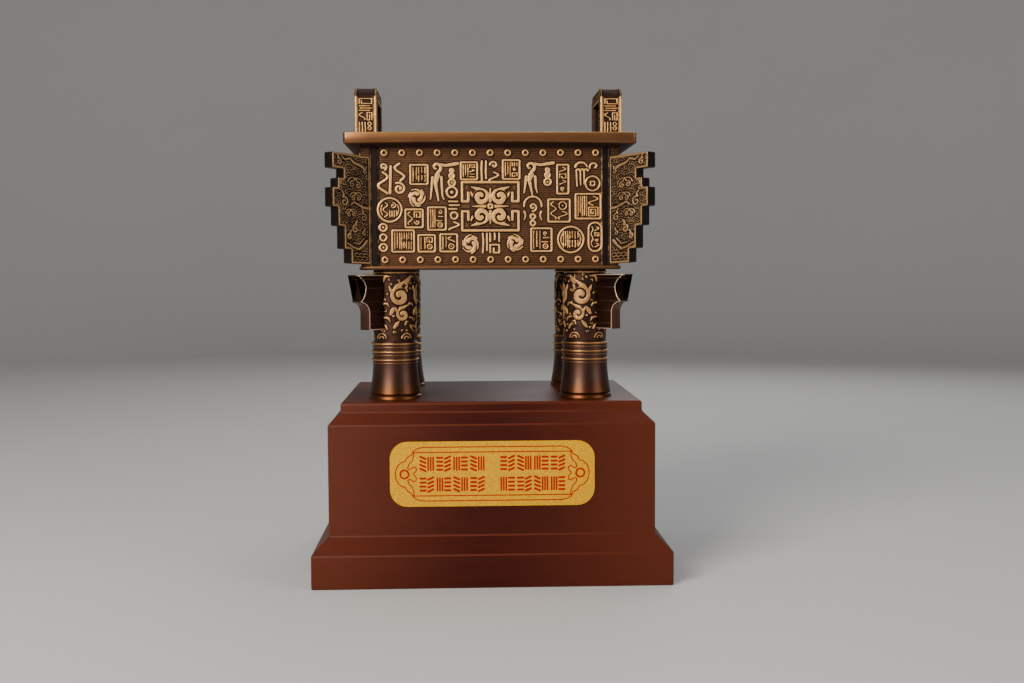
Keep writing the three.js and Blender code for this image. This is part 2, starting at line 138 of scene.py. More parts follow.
class Signal:
    """A value in a node tree. Arithmetic on it adds Math nodes."""

    def __init__(self, tree, socket):
        self.tree, self.socket = tree, socket

    def math(self, operation, *others):
        values = dict(enumerate((self, *others)))
        return self.tree.node("ShaderNodeMath", {"operation": operation}, values)

    __add__ = __radd__ = partialmethod(math, "ADD")
    __sub__ = partialmethod(math, "SUBTRACT")
    __mul__ = __rmul__ = partialmethod(math, "MULTIPLY")
    __truediv__ = partialmethod(math, "DIVIDE")
    __pow__ = partialmethod(math, "POWER")
    at_least = partialmethod(math, "MAXIMUM")

    def __rsub__(self, other):
        return self.tree.node("ShaderNodeMath", {"operation": "SUBTRACT"}, {0: other, 1: self})

    def step(self, low, high):
        """0 below low, 1 above high, and a smooth step between."""
        sockets = {"Value": self, "From Min": low, "From Max": high}
        return self.tree.node("ShaderNodeMapRange", {"interpolation_type": "SMOOTHSTEP"}, sockets)


class Tree:
    """A node tree with one way to add a node: its type, its settings, and its sockets' values or links."""

    def __init__(self, tree):
        self.tree = tree

    def node(self, kind, settings=None, sockets=None, output=0):
        made = self.tree.nodes.new(kind)
        for name, value in (settings or {}).items():
            setattr(made, name, value)
        for name, value in (sockets or {}).items():
            if isinstance(value, Signal):
                self.tree.links.new(value.socket, made.inputs[name])
            else:
                made.inputs[name].default_value = value
        return Signal(self, made.outputs[output]) if len(made.outputs) else made


class Finish(Tree):
    """A material being made."""

    def __init__(self, name):
        self.material = bpy.data.materials.new(name)
        self.material.use_nodes = True
        self.material.node_tree.nodes.clear()
        super().__init__(self.material.node_tree)
        self.place = self.node("ShaderNodeTexCoord", output="Object")

    def noise(self, scale, detail=3.0, roughness=0.5, stretch=(1, 1, 1)):
        """Cloudy noise from 0 to 1. scale is in features a metre, and stretch shrinks them along an axis."""
        where = self.node("ShaderNodeMapping", {}, {"Vector": self.place, "Scale": stretch})
        sockets = {"Vector": where, "Scale": scale, "Detail": detail, "Roughness": roughness}
        return self.node("ShaderNodeTexNoise", {}, sockets)

    def raised(self):
        """How far inside raised work a point lies, in millimetres, negative outside it; on plain castings
        negative values also mean painted shade.
        """
        return self.node("ShaderNodeAttribute", {"attribute_name": RAISED}, output="Fac")

    def level(self):
        """Height above the floor, in metres."""
        return self.node("ShaderNodeSeparateXYZ", {}, {0: self.place}, output="Z")

    def mix(self, share, low, high):
        """A colour between two colours."""
        sockets = {"Factor": share}
        for index, colour in ((6, low), (7, high)):
            sockets[index] = colour if isinstance(colour, Signal) else (*colour, 1)
        return self.node("ShaderNodeMix", {"data_type": "RGBA"}, sockets, output=2)

    def bump(self, height, distance, strength):
        """A normal bumped by height, by that distance in metres at most."""
        sockets = {"Height": height, "Distance": distance, "Strength": strength}
        return self.node("ShaderNodeBump", {}, sockets)

    def done(self, **sockets):
        """Ends the material in one principled shader, with underscores for the spaces in its socket names."""
        named = {name.replace("_", " "): value for name, value in sockets.items()}
        shader = self.node("ShaderNodeBsdfPrincipled", {}, named)
        self.node("ShaderNodeOutputMaterial", {}, {"Surface": shader})
        return self.material


# ---- Finishes ----

PATINA_DEEP = (0.008, 0.003, 0.002)
PATINA_BROWN = (0.030, 0.011, 0.006)
PATINA_COPPER = (0.062, 0.021, 0.010)
PANEL_BROWN = (0.125, 0.058, 0.024)
GOLD_BRIGHT = (1.0, 0.57, 0.20)
GOLD_DULL = (0.72, 0.34, 0.10)
# The raised value of the plain panel inside the cartouche, which has no scored lines.
PANEL = -3.0


def relief_bronze(name, gold_bright=GOLD_BRIGHT, gold_dull=GOLD_DULL, ground_lines=0.0):
    """Dark patina on the ground, darkest beside the raised work, whose tops are rubbed to gold.

    ground_lines is the pitch in metres of the fine level lines that score the ground, or 0.
    """
    finish = Finish(name)
    raised = finish.raised()
    cloud = finish.noise(140, 4, 0.6)
    speck = finish.noise(1500, 3, 0.6)
    rubbed = (raised + (cloud - 0.5) * 0.5 + (speck - 0.5) * 0.3).step(-0.16, 0.3)
    beside = raised.step(-1.5, -0.15) * (1 - rubbed)
    brown = finish.mix(cloud.step(0.4, 0.7), PATINA_BROWN, PATINA_COPPER)
    height = speck
    if ground_lines:
        scored = raised.step(PANEL + 0.4, PANEL + 0.8)
        wave = (finish.level() * (2 * math.pi / ground_lines)).math("SINE")
        ridge = wave.step(-0.2, 0.9) * (1 - raised.step(-0.9, -0.5)) * scored
        brown = finish.mix(ridge * 0.16, finish.mix(scored, PANEL_BROWN, brown), GOLD_DULL)
        height = speck * 0.4 + ridge * 0.9
    ground = finish.mix(beside, brown, PATINA_DEEP)
    gold = finish.mix(speck.step(0.3, 0.75), gold_dull, gold_bright)
    roughness = 0.5 - rubbed * 0.14 + (speck - 0.5) * 0.16
    return finish.done(
        Base_Color=finish.mix(rubbed, ground, gold), Metallic=0.75 - rubbed * 0.3, Roughness=roughness,
        Normal=finish.bump(height, 0.00012, 0.6),
    )


def smooth_bronze(name, brown, pale, edge_tone, dull=0.0):
    """Plain cast surfaces: satin copper brown, cloudy, rubbed on the edges (wear, and partly a painted
    highlight), and painted near-black as shade where the raised value is negative.

    dull is how much rougher and less metallic the surfaces in painted shade are.
    """
    finish = Finish(name)
    cloud = finish.noise(45, 4, 0.55)
    speck = finish.noise(900, 4, 0.65)
    worn = (cloud * 0.7 + speck * 0.3).step(0.42, 0.68)
    raised = finish.raised()
    tone = finish.mix(worn * 0.55, brown, pale)
    # Painted shade: a near-black brown where the raised value is negative, standing in for shade under the
    # rim, on the ledge and on sheltered faces.
    outside_painted_shade = raised.step(-1.0, -0.05)
    tone = finish.mix(outside_painted_shade, (0.028, 0.010, 0.005), tone)
    colour = finish.mix(raised.step(0.1, 0.9) * 0.75, tone, edge_tone)
    dulled = (1 - outside_painted_shade) * dull
    roughness = 0.4 - worn * 0.07 + (speck - 0.5) * 0.14 + dulled
    return finish.done(
        Base_Color=colour, Metallic=0.92 - dulled, Roughness=roughness,
        Normal=finish.bump(speck, 0.00008, 0.5),
    )


def foot_bronze():
    """Burnished copper with a painted reflection: copper low on the foot, fading upwards to a violet brown,
    with rubbed gold ring lines.
    """
    finish = Finish("bronze_foot")
    cloud = finish.noise(45, 4, 0.55)
    speck = finish.noise(900, 4, 0.65)
    # Painted reflection: the colour changes with height, from copper low down to violet brown higher up,
    # standing in for the light reflected on the flare.
    above = finish.level().step((stand + 2) * MM, (stand + 17) * MM)
    tone = finish.mix(above, (0.115, 0.038, 0.012), (0.080, 0.040, 0.029))
    tone = finish.mix(cloud.step(0.45, 0.7) * 0.35, tone, (0.060, 0.024, 0.013))
    colour = finish.mix(finish.raised().step(0.1, 0.9), tone, (0.48, 0.23, 0.085))
    roughness = 0.36 + (cloud - 0.5) * 0.12 + (speck - 0.5) * 0.12
    return finish.done(
        Base_Color=colour, Metallic=0.95, Roughness=roughness, Normal=finish.bump(speck, 0.00006, 0.5),
    )


def inner_bronze():
    """The inside of the vessel: dull, dark and a little rough from the mould."""
    finish = Finish("bronze_inside")
    cloud = finish.noise(60, 5, 0.6)
    sand = finish.noise(1100, 4, 0.7)
    colour = finish.mix(cloud.step(0.35, 0.7), (0.085, 0.045, 0.026), (0.19, 0.10, 0.055))
    roughness = 0.55 + (sand - 0.5) * 0.2
    return finish.done(
        Base_Color=colour, Metallic=0.8, Roughness=roughness, Normal=finish.bump(sand, 0.0002, 0.7),
    )


def lacquer():
    """Red-brown satin lacquer over close-grained wood, lighter and redder along the edges, as lacquer worn
    thin and as a painted highlight.
    """
    finish = Finish("lacquered_wood")
    grain = finish.noise(260, 6, 0.65, stretch=(0.06, 1, 1))
    cloud = finish.noise(22, 3, 0.5)
    # Lighter edges: worn lacquer and a painted highlight.
    edge = finish.raised().step(0.05, 0.9)
    body = finish.mix(grain.step(0.3, 0.75), (0.031, 0.0021, 0.0004), (0.043, 0.0034, 0.0006))
    body = finish.mix(cloud.step(0.35, 0.7) * 0.35, body, (0.052, 0.0050, 0.0009))
    colour = finish.mix(edge * 0.5, body, (0.14, 0.030, 0.011))
    roughness = 0.42 + (cloud - 0.5) * 0.1 + (grain - 0.5) * 0.08
    return finish.done(
        Base_Color=colour, Roughness=roughness, Normal=finish.bump(grain, 0.00005, 0.35),
        Specular_IOR_Level=0.15, Coat_Weight=0.04, Coat_Roughness=0.25,
    )


def gilt_print():
    """Fine glittering gold, with the print as flat red colour."""
    finish = Finish("gilt_plate")
    printed = finish.raised().step(-0.06, 0.06)
    sparkle = finish.node(
        "ShaderNodeTexVoronoi", {"feature": "F1"}, {"Vector": finish.place, "Scale": 2600.0}, output="Color",
    )
    grain = finish.node("ShaderNodeSeparateColor", {}, {0: sparkle}, output=0)
    cloud = finish.noise(40, 2, 0.5)
    gold = finish.mix(grain, (0.40, 0.17, 0.0004), (0.92, 0.48, 0.002))
    gold = finish.mix(cloud.step(0.35, 0.7) * 0.25, gold, (0.68, 0.30, 0.001))
    red = finish.mix(grain * 0.3, (0.34, 0.0015, 0.001), (0.44, 0.004, 0.002))
    return finish.done(
        Base_Color=finish.mix(printed, gold, red), Metallic=0.1 - printed * 0.1, Specular_IOR_Level=0.15,
        Roughness=0.5 + (grain - 0.5) * 0.3, Normal=finish.bump(grain, 0.00006, 0.4),
    )


# ---- Meshes ----


class Casting:
    """Gathers the surfaces of one piece, in millimetres, and makes them one mesh."""

    def __init__(self):
        self.points, self.raised, self.faces, self.finishes = [], [], [], []
        self.count = 0

    def add(self, points, faces, raised, finish=0):
        """Adds a surface. raised is one value, or one for each point; finish counts the piece's finishes."""
        points = np.asarray(points, float).reshape(-1, 3)
        self.points.append(points)
        self.raised.append(np.full(len(points), raised) if np.ndim(raised) == 0 else np.ravel(raised))
        for group in faces:
            group = np.atleast_2d(group) + self.count
            self.faces.append(group)
            self.finishes.append(np.full(len(group), finish))
        self.count += len(points)

    def make(self, name, finishes, sharp_angle=80, node="ding"):
        """Makes the piece, which stands for a CAD node."""
        mesh = bpy.data.meshes.new(name)
        points = np.concatenate(self.points) * MM
        lengths = np.concatenate([np.full(len(group), group.shape[1]) for group in self.faces])
        corners = np.concatenate([group.ravel() for group in self.faces])
        mesh.vertices.add(len(points))
        mesh.vertices.foreach_set("co", points.ravel())
        mesh.loops.add(len(corners))
        mesh.loops.foreach_set("vertex_index", corners)
        mesh.polygons.add(len(lengths))
        mesh.polygons.foreach_set("loop_start", np.concatenate([[0], np.cumsum(lengths)[:-1]]))
        mesh.polygons.foreach_set("material_index", np.concatenate(self.finishes))
        mesh.update(calc_edges=True)
        mesh.validate()
        set_raised(mesh, np.concatenate(self.raised))
        for finish in finishes:
            mesh.materials.append(finish)
        add_piece(name, mesh, sharp_angle, node)


def set_raised(mesh, values):
    mesh.attributes.new(RAISED, "FLOAT", "POINT").data.foreach_set("value", values)


def add_piece(name, mesh, sharp_angle, node="ding"):
    """Puts a mesh on the body as the piece that stands for a CAD node."""
    mesh.polygons.foreach_set("use_smooth", np.ones(len(mesh.polygons), bool))
    mesh.set_sharp_from_angle(angle=math.radians(sharp_angle))
    made = bpy.data.objects.new(name, mesh)
    bpy.context.scene.collection.objects.link(made)
    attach(made, BODY)
    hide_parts(node)


def grid_faces(rows, columns, wrap=False):
    """Faces of a grid of points, rows by columns. wrap joins the last column to the first."""
    index = np.arange(rows * columns).reshape(rows, columns)
    if wrap:
        index = np.concatenate([index, index[:, :1]], axis=1)
    return np.stack([index[:-1, :-1], index[:-1, 1:], index[1:, 1:], index[1:, :-1]], -1).reshape(-1, 4)


def loft(loops, cap_start=True, cap_end=True):
    """Points and faces of a skin through closed loops with the same number of points."""
    loops = np.asarray(loops, float)
    rows, columns = loops.shape[:2]
    faces = [grid_faces(rows, columns, wrap=True)]
    if cap_start:
        faces.append(np.arange(columns)[::-1])
    if cap_end:
        faces.append(np.arange(columns) + (rows - 1) * columns)
    return loops.reshape(-1, 3), faces


def closed_sheet(front, behind, kept=None):
    """A grid of points closed by a skirt and a flat back. kept picks its cells, each row in one run.

    Gives points, faces, and the grid point that each point comes from.
    """
    rows, columns = front.shape[:2]
    size = rows * columns
    quads = grid_faces(rows, columns)
    if kept is not None:
        quads = quads[kept.ravel()]
    edges = np.concatenate([quads[:, [i, (i + 1) % 4]] for i in range(4)])
    paired = np.isin(edges[:, 0] * size + edges[:, 1], edges[:, 1] * size + edges[:, 0])
    rim = edges[~paired]
    ends = dict(rim.tolist())
    loop = [rim[0, 0]]
    while ends[loop[-1]] != loop[0]:
        loop.append(ends[loop[-1]])
    loop = np.array(loop)
    back = size + np.arange(len(loop))
    after, back_after = np.roll(loop, -1), np.roll(back, -1)
    skirt = np.stack([after, loop, back, back_after], -1)
    used = np.unique(quads)
    renumber = np.full(size + len(loop), -1)
    renumber[used] = np.arange(len(used))
    renumber[back] = len(used) + np.arange(len(loop))
    points = np.concatenate([front.reshape(-1, 3)[used], behind.reshape(-1, 3)[loop]])
    return points, [renumber[quads], renumber[skirt], renumber[back[::-1]]], np.concatenate([used, loop])


def unit(vector):
    return vector / np.linalg.norm(vector)


def bend(start, control, end, steps):
    """Points along a quadratic curve, both ends included."""
    t = np.linspace(0, 1, steps + 1)[:, None]
    return np.array(start) * (1 - t) ** 2 + np.array(control) * 2 * t * (1 - t) + np.array(end) * t**2


def rounded_outline(corners, steps):
    """A closed outline from corners (across, up, radius), anticlockwise, each rounded by a curve."""
    points = []
    for i, (across, up, radius) in enumerate(corners):
        corner = np.array([across, up], float)
        before = np.array(corners[i - 1][:2], float) - corner
        after = np.array(corners[(i + 1) % len(corners)][:2], float) - corner
        if radius == 0:
            points.append(corner)
            continue
        points += list(bend(corner + unit(before) * radius, corner, corner + unit(after) * radius, steps))
    return np.array(points)


def inset(outline, distance):
    """An anticlockwise outline moved inwards."""
    along = np.roll(outline, -1, 0) - outline
    along /= np.linalg.norm(along, axis=1)[:, None]
    inward = np.stack([-along[:, 1], along[:, 0]], -1)
    before = np.roll(inward, 1, 0)
    joint = (inward + before) / (1 + np.sum(inward * before, 1))[:, None]
    return outline + joint * distance


def rounded_rectangle(half_x, half_y, radius, side_steps, corner_steps=4):
    """A plan outline, anticlockwise, with the same number of points whatever its size."""
    points = []
    signs = [(1, -1), (1, 1), (-1, 1), (-1, -1)]
    for quarter, sign in enumerate(signs):
        centre = np.array(sign) * (half_x - radius, half_y - radius)
        for turn in np.linspace(quarter - 1, quarter, corner_steps + 1) * math.pi / 2:
            points.append(centre + radius * np.array([math.cos(turn), math.sin(turn)]))
        following = np.array(signs[(quarter + 1) % 4]) * (half_x - radius, half_y - radius)
        start = points[-1]
        end = following + start - centre
        points += [start + (end - start) * step / side_steps for step in range(1, side_steps)]
    return np.array(points)


def follow(outline, profile):
    """Loops in (across, up, out) that follow an outline, each (inward, out) of a profile."""
    return [np.column_stack([inset(outline, inward), np.full(len(outline), out)]) for inward, out in profile]


def slab(outline, thickness, ease):
    """Loops of a plate with eased edges, centred on its middle plane."""
    half = thickness / 2
    turns = np.linspace(0, math.pi / 2, 3)
    profile = [(ease * (1 - math.sin(a)), -half + ease * (1 - math.cos(a))) for a in turns]
    return follow(outline, profile + [(inward, -out) for inward, out in reversed(profile)])


def bar_frame(outline, width, thickness, ease):
    """A frame of bars that follows an outline: points, faces, and how rubbed each point is."""
    half, bevel = thickness / 2, 0.3 * ease
    profile = [
        (ease, -half), (bevel, bevel - half), (0, ease - half), (0, half - ease), (bevel, half - bevel),
        (ease, half), (width - ease, half), (width, half - ease), (width, ease - half), (width - ease, -half),
    ]
    tones = (0.5, 0.5, -0.5, -0.5, 0.5, 0.5, 0.5, 0, 0, 0.5)
    count = len(profile) * len(outline)
    points, faces = loft(follow(outline, [*profile, profile[0]]), False, False)
    return points[:count], [faces[0] % count], np.repeat(tones, len(outline))


# ---- Relief drawing ----

# A tone above any line's half width, so that nothing limits how rubbed a line gets.
RUBBED = 9.0


class Relief:
    """Raised work drawn over a grid, in millimetres.

    height is how far the metal stands out at each grid point; edge is how far inside the nearest
    raised line the point lies, negative on the ground.
    """

    REACH = 1.7

    def __init__(self, across, up, slope=0.6):
        self.across, self.up = np.broadcast_arrays(across, up)
        self.height = np.zeros(self.across.shape)
        self.edge = np.full(self.across.shape, -self.REACH)
        self.slope = slope

    @classmethod
    def patch(cls, left, right, bottom, top, step, slope=0.6):
        across = np.linspace(left, right, round((right - left) / step) + 1)
        up = np.linspace(bottom, top, round((top - bottom) / step) + 1)
        return cls(across[None, :], up[:, None], slope)

    def lift(self, near, inside, out, tone=RUBBED):
        """Raises the points picked by near, each as far as it lies inside a line."""
        share = np.clip(inside / self.slope + 0.5, 0, 1)
        self.height[near] = np.maximum(self.height[near], out * share * share * (3 - 2 * share))
        self.edge[near] = np.maximum(self.edge[near], np.minimum(inside, tone))

    def near(self, low, high):
        inside = (self.across > low[0] - self.REACH) & (self.across < high[0] + self.REACH)
        return inside & (self.up > low[1] - self.REACH) & (self.up < high[1] + self.REACH)

    def line(self, points, width, out=1.0, end=None, tone=RUBBED):
        """A rounded line through points, tapering from width to end, rubbed no more than tone."""
        points = np.asarray(points, float)
        halves = np.linspace(width, width if end is None else end, len(points)) / 2
        for start, stop, half, next_half in zip(points, points[1:], halves, halves[1:]):
            wide = max(half, next_half)
            near = self.near(np.minimum(start, stop) - wide, np.maximum(start, stop) + wide)
            if not near.any():
                continue
            along = stop - start
            across, up = self.across[near] - start[0], self.up[near] - start[1]
            t = np.clip((across * along[0] + up * along[1]) / max(along @ along, 1e-9), 0, 1)
            gap = np.hypot(across - t * along[0], up - t * along[1])
            self.lift(near, half + (next_half - half) * t - gap, out, tone)

    def frame(self, centre, width, height, line, out=1.0, corner=0.8):
        """A rectangular frame of that outer size."""
        half = np.array([width, height]) / 2
        centre = np.asarray(centre, float)
        near = self.near(centre - half, centre + half)
        offset_x = np.abs(self.across[near] - centre[0]) - (half[0] - line / 2 - corner)
        offset_y = np.abs(self.up[near] - centre[1]) - (half[1] - line / 2 - corner)
        outside = np.hypot(np.maximum(offset_x, 0), np.maximum(offset_y, 0))
        distance = outside + np.minimum(np.maximum(offset_x, offset_y), 0) - corner
        self.lift(near, line / 2 - np.abs(distance), out)

    def ring(self, centre, radius, line, out=1.0):
        centre = np.asarray(centre, float)
        near = self.near(centre - radius - line, centre + radius + line)
        gap = np.hypot(self.across[near] - centre[0], self.up[near] - centre[1])
        self.lift(near, line / 2 - np.abs(gap - radius), out)

    def cut(self, points, width, end=None):
        """A groove through raised work, tapering from width to end."""
        groove = Relief(self.across, self.up, self.slope)
        groove.line(points, width, 1.0, end)
        self.height *= 1 - groove.height
        self.edge = np.where(groove.edge > -0.6, np.minimum(self.edge, -groove.edge), self.edge)

    def under(self, other, room=0.8):
        """Lays other work on top, with a bare margin round it."""
        covered = other.edge > -room
        self.height = np.where(covered, other.height, self.height)
        self.edge = np.where(covered, other.edge, self.edge)

    def dot(self, centre, radius, out=1.0):
        self.line([centre, np.asarray(centre) + [0.01, 0]], radius * 2, out)


def curve(centre, radius, start, end, end_radius=None, steps=None):
    """Points round a centre from one angle to another, in degrees, as an arc or a spiral."""
    end_radius = radius if end_radius is None else end_radius
    steps = steps or max(4, int(abs(end - start) / 22))
    angles = np.radians(np.linspace(start, end, steps + 1))
    radii = np.linspace(radius, end_radius, steps + 1)
    return np.column_stack([centre[0] + radii * np.cos(angles), centre[1] + radii * np.sin(angles)])


# Motifs fill a box (left, right, bottom, top) with strokes of one width. They stand for no letters.


def bars(relief, box, line, rng):
    left, right, bottom, top = box
    count = max(2, int((right - left + line) / (1.85 * line)))
    for i, x in enumerate(np.linspace(left + line / 2, right - line / 2, count)):
        drop = rng.uniform(0, 0.2) * (top - bottom)
        bow = rng.uniform(-0.3, 0.3) * line
        foot = bottom + drop * (i % 2) + line / 2
        relief.line([(x, top - line / 2), (x + bow, (top + bottom) / 2), (x, foot)], line)


def rungs(relief, box, line, rng):
    left, right, bottom, top = box
    count = max(2, int((top - bottom + line) / (1.9 * line)))
    for i, z in enumerate(np.linspace(bottom + line / 2, top - line / 2, count)):
        short = rng.uniform(0, 0.25) * (right - left)
        ends = (left + line / 2 + short * (i % 2), right - line / 2 - short * ((i + 1) % 2))
        relief.line([(ends[0], z), (ends[1], z)], line)


def meander(relief, box, line, rng):
    left, right, bottom, top = np.array(box) + np.array([1, -1, 1, -1]) * line / 2
    step = 1.9 * line
    points = [(left, bottom), (left, top)]
    while right - left > step * 0.6 and top - bottom > step * 0.6:
        points += [(right, top), (right, bottom), (left + step, bottom), (left + step, top - step)]
        left, right, bottom, top = left + step, right - step, bottom + step, top - step
    if rng.random() < 0.5:
        middle = box[0] + box[1]
        points = [(middle - x, z) for x, z in points]
    relief.line(points, line)


def coil(relief, box, line, rng):
    left, right, bottom, top = box
    centre = ((left + right) / 2, (bottom + top) / 2)
    radius = min(right - left, top - bottom) / 2 - line / 2
    turns = max(0.8, radius / (2.1 * line))
    start = rng.choice([90, -90, 180])
    hand = rng.choice([-1, 1])
    relief.line(curve(centre, radius, start, start + hand * 360 * turns, line * 0.45), line)


def beads(relief, box, line, _):
    left, right, bottom, top = box
    count = max(1, round((top - bottom) / (right - left)))
    pitch = (top - bottom) / count
    radius = min(right - left, pitch) / 2 - line / 2
    for i in range(count):
        centre = ((left + right) / 2, bottom + pitch * (i + 0.5))
        relief.ring(centre, radius, line)
        if radius > 1.9 * line:
            relief.dot(centre, line * 0.62)


def ripple(relief, box, line, rng):
    left, right, bottom, top = box
    t = np.linspace(0, 1, 25)
    swing = (right - left - line) / 2
    bends = max(1.5, (top - bottom) / (4.2 * line))
    x = (left + right) / 2 + swing * np.sin(2 * math.pi * bends / 2 * t + rng.choice([0, math.pi]))
    relief.line(np.column_stack([x, top - line / 2 - t * (top - bottom - line)]), line)


MOTIFS = (bars, rungs, meander, coil, beads, ripple)


def fill(relief, box, line, rng):
    """Fills a box with one column of motifs, or a tall motif beside a stack."""
    left, right, bottom, top = box
    gap = line * 0.75
    if right - left < 6.5 * line:
        columns = [(left, right)]
    else:
        split = left + (right - left) * rng.uniform(0.36, 0.5)
        columns = [(left, split - gap / 2), (split + gap / 2, right)]
    for i, (low, high) in enumerate(columns):
        tall = (top - bottom) / (high - low)
        parts = 1 if i == 0 and len(columns) > 1 else max(1, min(4, round(tall * 1.2)))
        edges = np.linspace(bottom, top, parts + 1)
        choices = (bars, ripple, bars) if parts == 1 and tall > 1.6 else MOTIFS
        for floor, roof in zip(edges, edges[1:]):
            motif = choices[rng.integers(len(choices))]
            part = (low, high, floor + gap / 2 * (floor > bottom), roof - gap / 2 * (roof < top))
            motif(relief, part, line, rng)


def seal(relief, form, x, z, width, height, rng):
    """One seal: a frame or outline of its form, filled with strokes."""
    border, line, pad = 1.5, 0.95, 2.4
    box = np.array([x - width / 2, x + width / 2, z - height / 2, z + height / 2])
    inner = box + [pad, -pad, pad, -pad]
    if form == "square":
        relief.frame((x, z), width, height, border)
        fill(relief, inner, line, rng)
    elif form == "round":
        relief.ring((x, z), width / 2 - 0.7, border)
        half = width * 0.29
        for side in SIDES:
            relief.line(curve((x, z), width / 2 - 3, 90 - side * 55, 90 - side * 125), line)
        fill(relief, (x - half, x + half, z - half * 1.05, z + half * 1.05), line, rng)
    elif form == "capsule":
        relief.frame((x, z), width, height, border, corner=width / 2 - 1)
        fill(relief, inner + [0, 0, 1, -1.5], line, rng)
    elif form == "coils":
        ripple(relief, (box[0], x - 2.5, box[2] + 1, box[3] - 7), 1.9, rng)
        relief.line(curve((box[0] + 5, box[3] - 3.5), 3, -60, 330, 0.8), 1.5)
        relief.line([(x - 0.8, box[3] - 3), (x - 1.2, z), (x - 1.6, box[2] + 2)], 2)
        ripple(relief, (x + 1.5, box[1] - 1, z - 2, box[3]), 1.9, rng)
        relief.line(curve((x + 5.8, box[2] + 5.6), 5, 120, 120 - 520, 0.9), 1.8)
    elif form == "plume":
        plume(relief, box, rng)
    elif form == "coin":
        for i in range(3):
            stem = curve((box[0] + 2.5 + 3.2 * i, z + 4), 1.6, 200, 20)
            stem = np.concatenate([stem[::-1], [(box[0] + 1.6 + 2.9 * i, box[2] + 4 + i)]])
            relief.line(stem, 1.9, end=1.1)
        relief.line(curve((box[0] + 5, box[3] - 6), 5, 165, 15), 2.2, end=1.2)
        relief.line(curve((box[1] - 5, box[3] - 4.5), 4, 200, -60, 1), 1.5)
        centre = (box[1] - 6.4, box[2] + 6.4)
        relief.ring(centre, 5.8, 1.3)
        relief.frame(centre, 4.4, 4.4, 1.1, corner=0.3)
    elif form == "swirl":
        swirl(relief, (x, z), (width / 2, height / 2), rng)
    elif form == "arch":
        relief.line(curve((x, box[3] - 6.6), width / 2 - 0.6, -8, 188), 1.5)
        relief.dot((x, box[3] + 0.6), 1.1)
        coil(relief, (x - 4.2, x + 4.2, z - 0.4, z + 8), 1.4, rng)
        beads(relief, (x - 3, x + 3, box[2], z - 1.2), 1.5, rng)
        for side in SIDES:
            relief.line(curve((x + side * 12.5, z - 3), 6.5, 90 + side * 60, 90 + side * 125), 1.7, end=0.8)
    else:
        fill(relief, box, 1.5, rng)


def plume(relief, box, rng):
    """A cloud curl over three hanging plumes, beside a chain of growing rings."""
    left, right, bottom, top = box
    middle = (left + right) / 2
    relief.line(curve((left + 5.4, top - 4), 4.2, -70, 260, 1.2), 2.6, end=1.6)
    relief.line([(left + 9, top - 1.6), (middle + 1, top - 2.6), (right - 1, top - 1)], 1.8, end=2.8)
    low = bottom + rng.uniform(0, 1.5)
    relief.line([(left + 6.2, top - 10.5), (left + 4.6, (top + low) / 2 - 2), (left + 7, low)], 4.2, end=1.2)
    for side, reach in ((-1, 4.6), (1, 4.4)):
        spine = [(left + 6 + side * reach * 0.8, top - 12), (left + 5.6 + side * reach, low + 5),
                 (left + 6 + side * reach * 1.2, low + 1)]
        relief.line(spine, 2.1, end=1.0)
    height, x = top - 4.5, right - 5.6
    for radius in (2.2, 2.7, 3.4, 5.0):
        height -= radius
        if height - radius < bottom - 1.5:
            break
        relief.ring((x, height), radius - 0.8, 1.7)
        relief.dot((x, height), radius * 0.28)
        height -= radius - 0.7


def swirl(relief, centre, half, rng):
    """Three commas that turn about a middle, thick at the head and thin at the tail."""
    first, hand = rng.uniform(0, 120), rng.choice([-1, 1])
    room = np.array([hand * (half[0] - 1), half[1] - 1])
    for turn in (0, 120, 240):
        spine = curve((0, 0), 0.4, first + turn, first + turn + 170, 1.0, 10)
        relief.line(spine * room + centre, 3.3, end=0.8)
        relief.line(curve((0, 0), 0.86, first + turn + 62, first + turn + 96, 0.98) * room + centre, 1.1)


def cartouche(relief):
    """The middle frame, open halfway up each side, round four bold volutes."""
    half_w, half_h, line = CARTOUCHE_W / 2 - 1, CARTOUCHE_H / 2 - 1, CARTOUCHE_LINE
    z = CARTOUCHE_Z
    relief.edge[(np.abs(relief.across) < half_w) & (np.abs(relief.up - z) < half_h)] = PANEL
    notch, inner, post = CARTOUCHE_NOTCH / 2 + 1, 17.8, 11.0
    border = [(0, half_h), (half_w, half_h), (half_w, notch), (inner, notch), (inner, post)]
    for way in CORNERS:
        relief.line(np.array(border) * way + [0, z], line, 1.3)
        volute(relief, np.array([7.4, 8]) * way + [0, z], way)
    relief.frame((0, z), 4.6, 4.6, 1.6, 1.5, 0.3)
    for side in SIDES:
        relief.line([(side * 4.2, z), (side * 14.6, z)], 2.4, 1.5, 0.9)
        relief.line([(0, z + side * 4), (0, z + side * 14.5)], 2.2, 1.5, 0.8)


def volute(relief, centre, way):
    """A broad comma: a disc cut by one spiral groove, its horn sweeping out and up."""
    def placed(points):
        return np.asarray(points, float) * way + centre

    relief.line(placed([(-0.3, 0.2), (0.3, -0.2)]), 12.6, 1.5)
    relief.line(placed([(-2.5, 3), (1.5, 5.6), (8, 7.6)]), 5.6, 1.5, 1)
    relief.line(placed([(4, -2), (7, 0.8), (8.4, 4)]), 3.6, 1.5, 0.8)
    relief.cut(placed(curve((0.2, 0), 6.6, -60, 290, 1.3, 24)), 1.2, 1.6)


def cloud_head(relief, centre, size, line, turn=0.0):
    """A ruyi cloud: two curls that meet in a point, with a second arch over them. turn is in degrees."""
    cos, sin = math.cos(math.radians(turn)), math.sin(math.radians(turn))
    turned = np.array([[cos, sin], [-sin, cos]])
    for hand in SIDES:
        curl = curve((0.5 * size, 0), 0.46 * size, 110, 110 - 430, 0.1 * size)
        over = [(0, 0.92 * size), (0.16 * size, 0.62 * size)]
        outer = curve((0.42 * size, 0.06 * size), 0.86 * size, 118, 10)
        for points in (np.concatenate([over, curl]), outer):
            relief.line(points * [hand, 1] @ turned + centre, line)


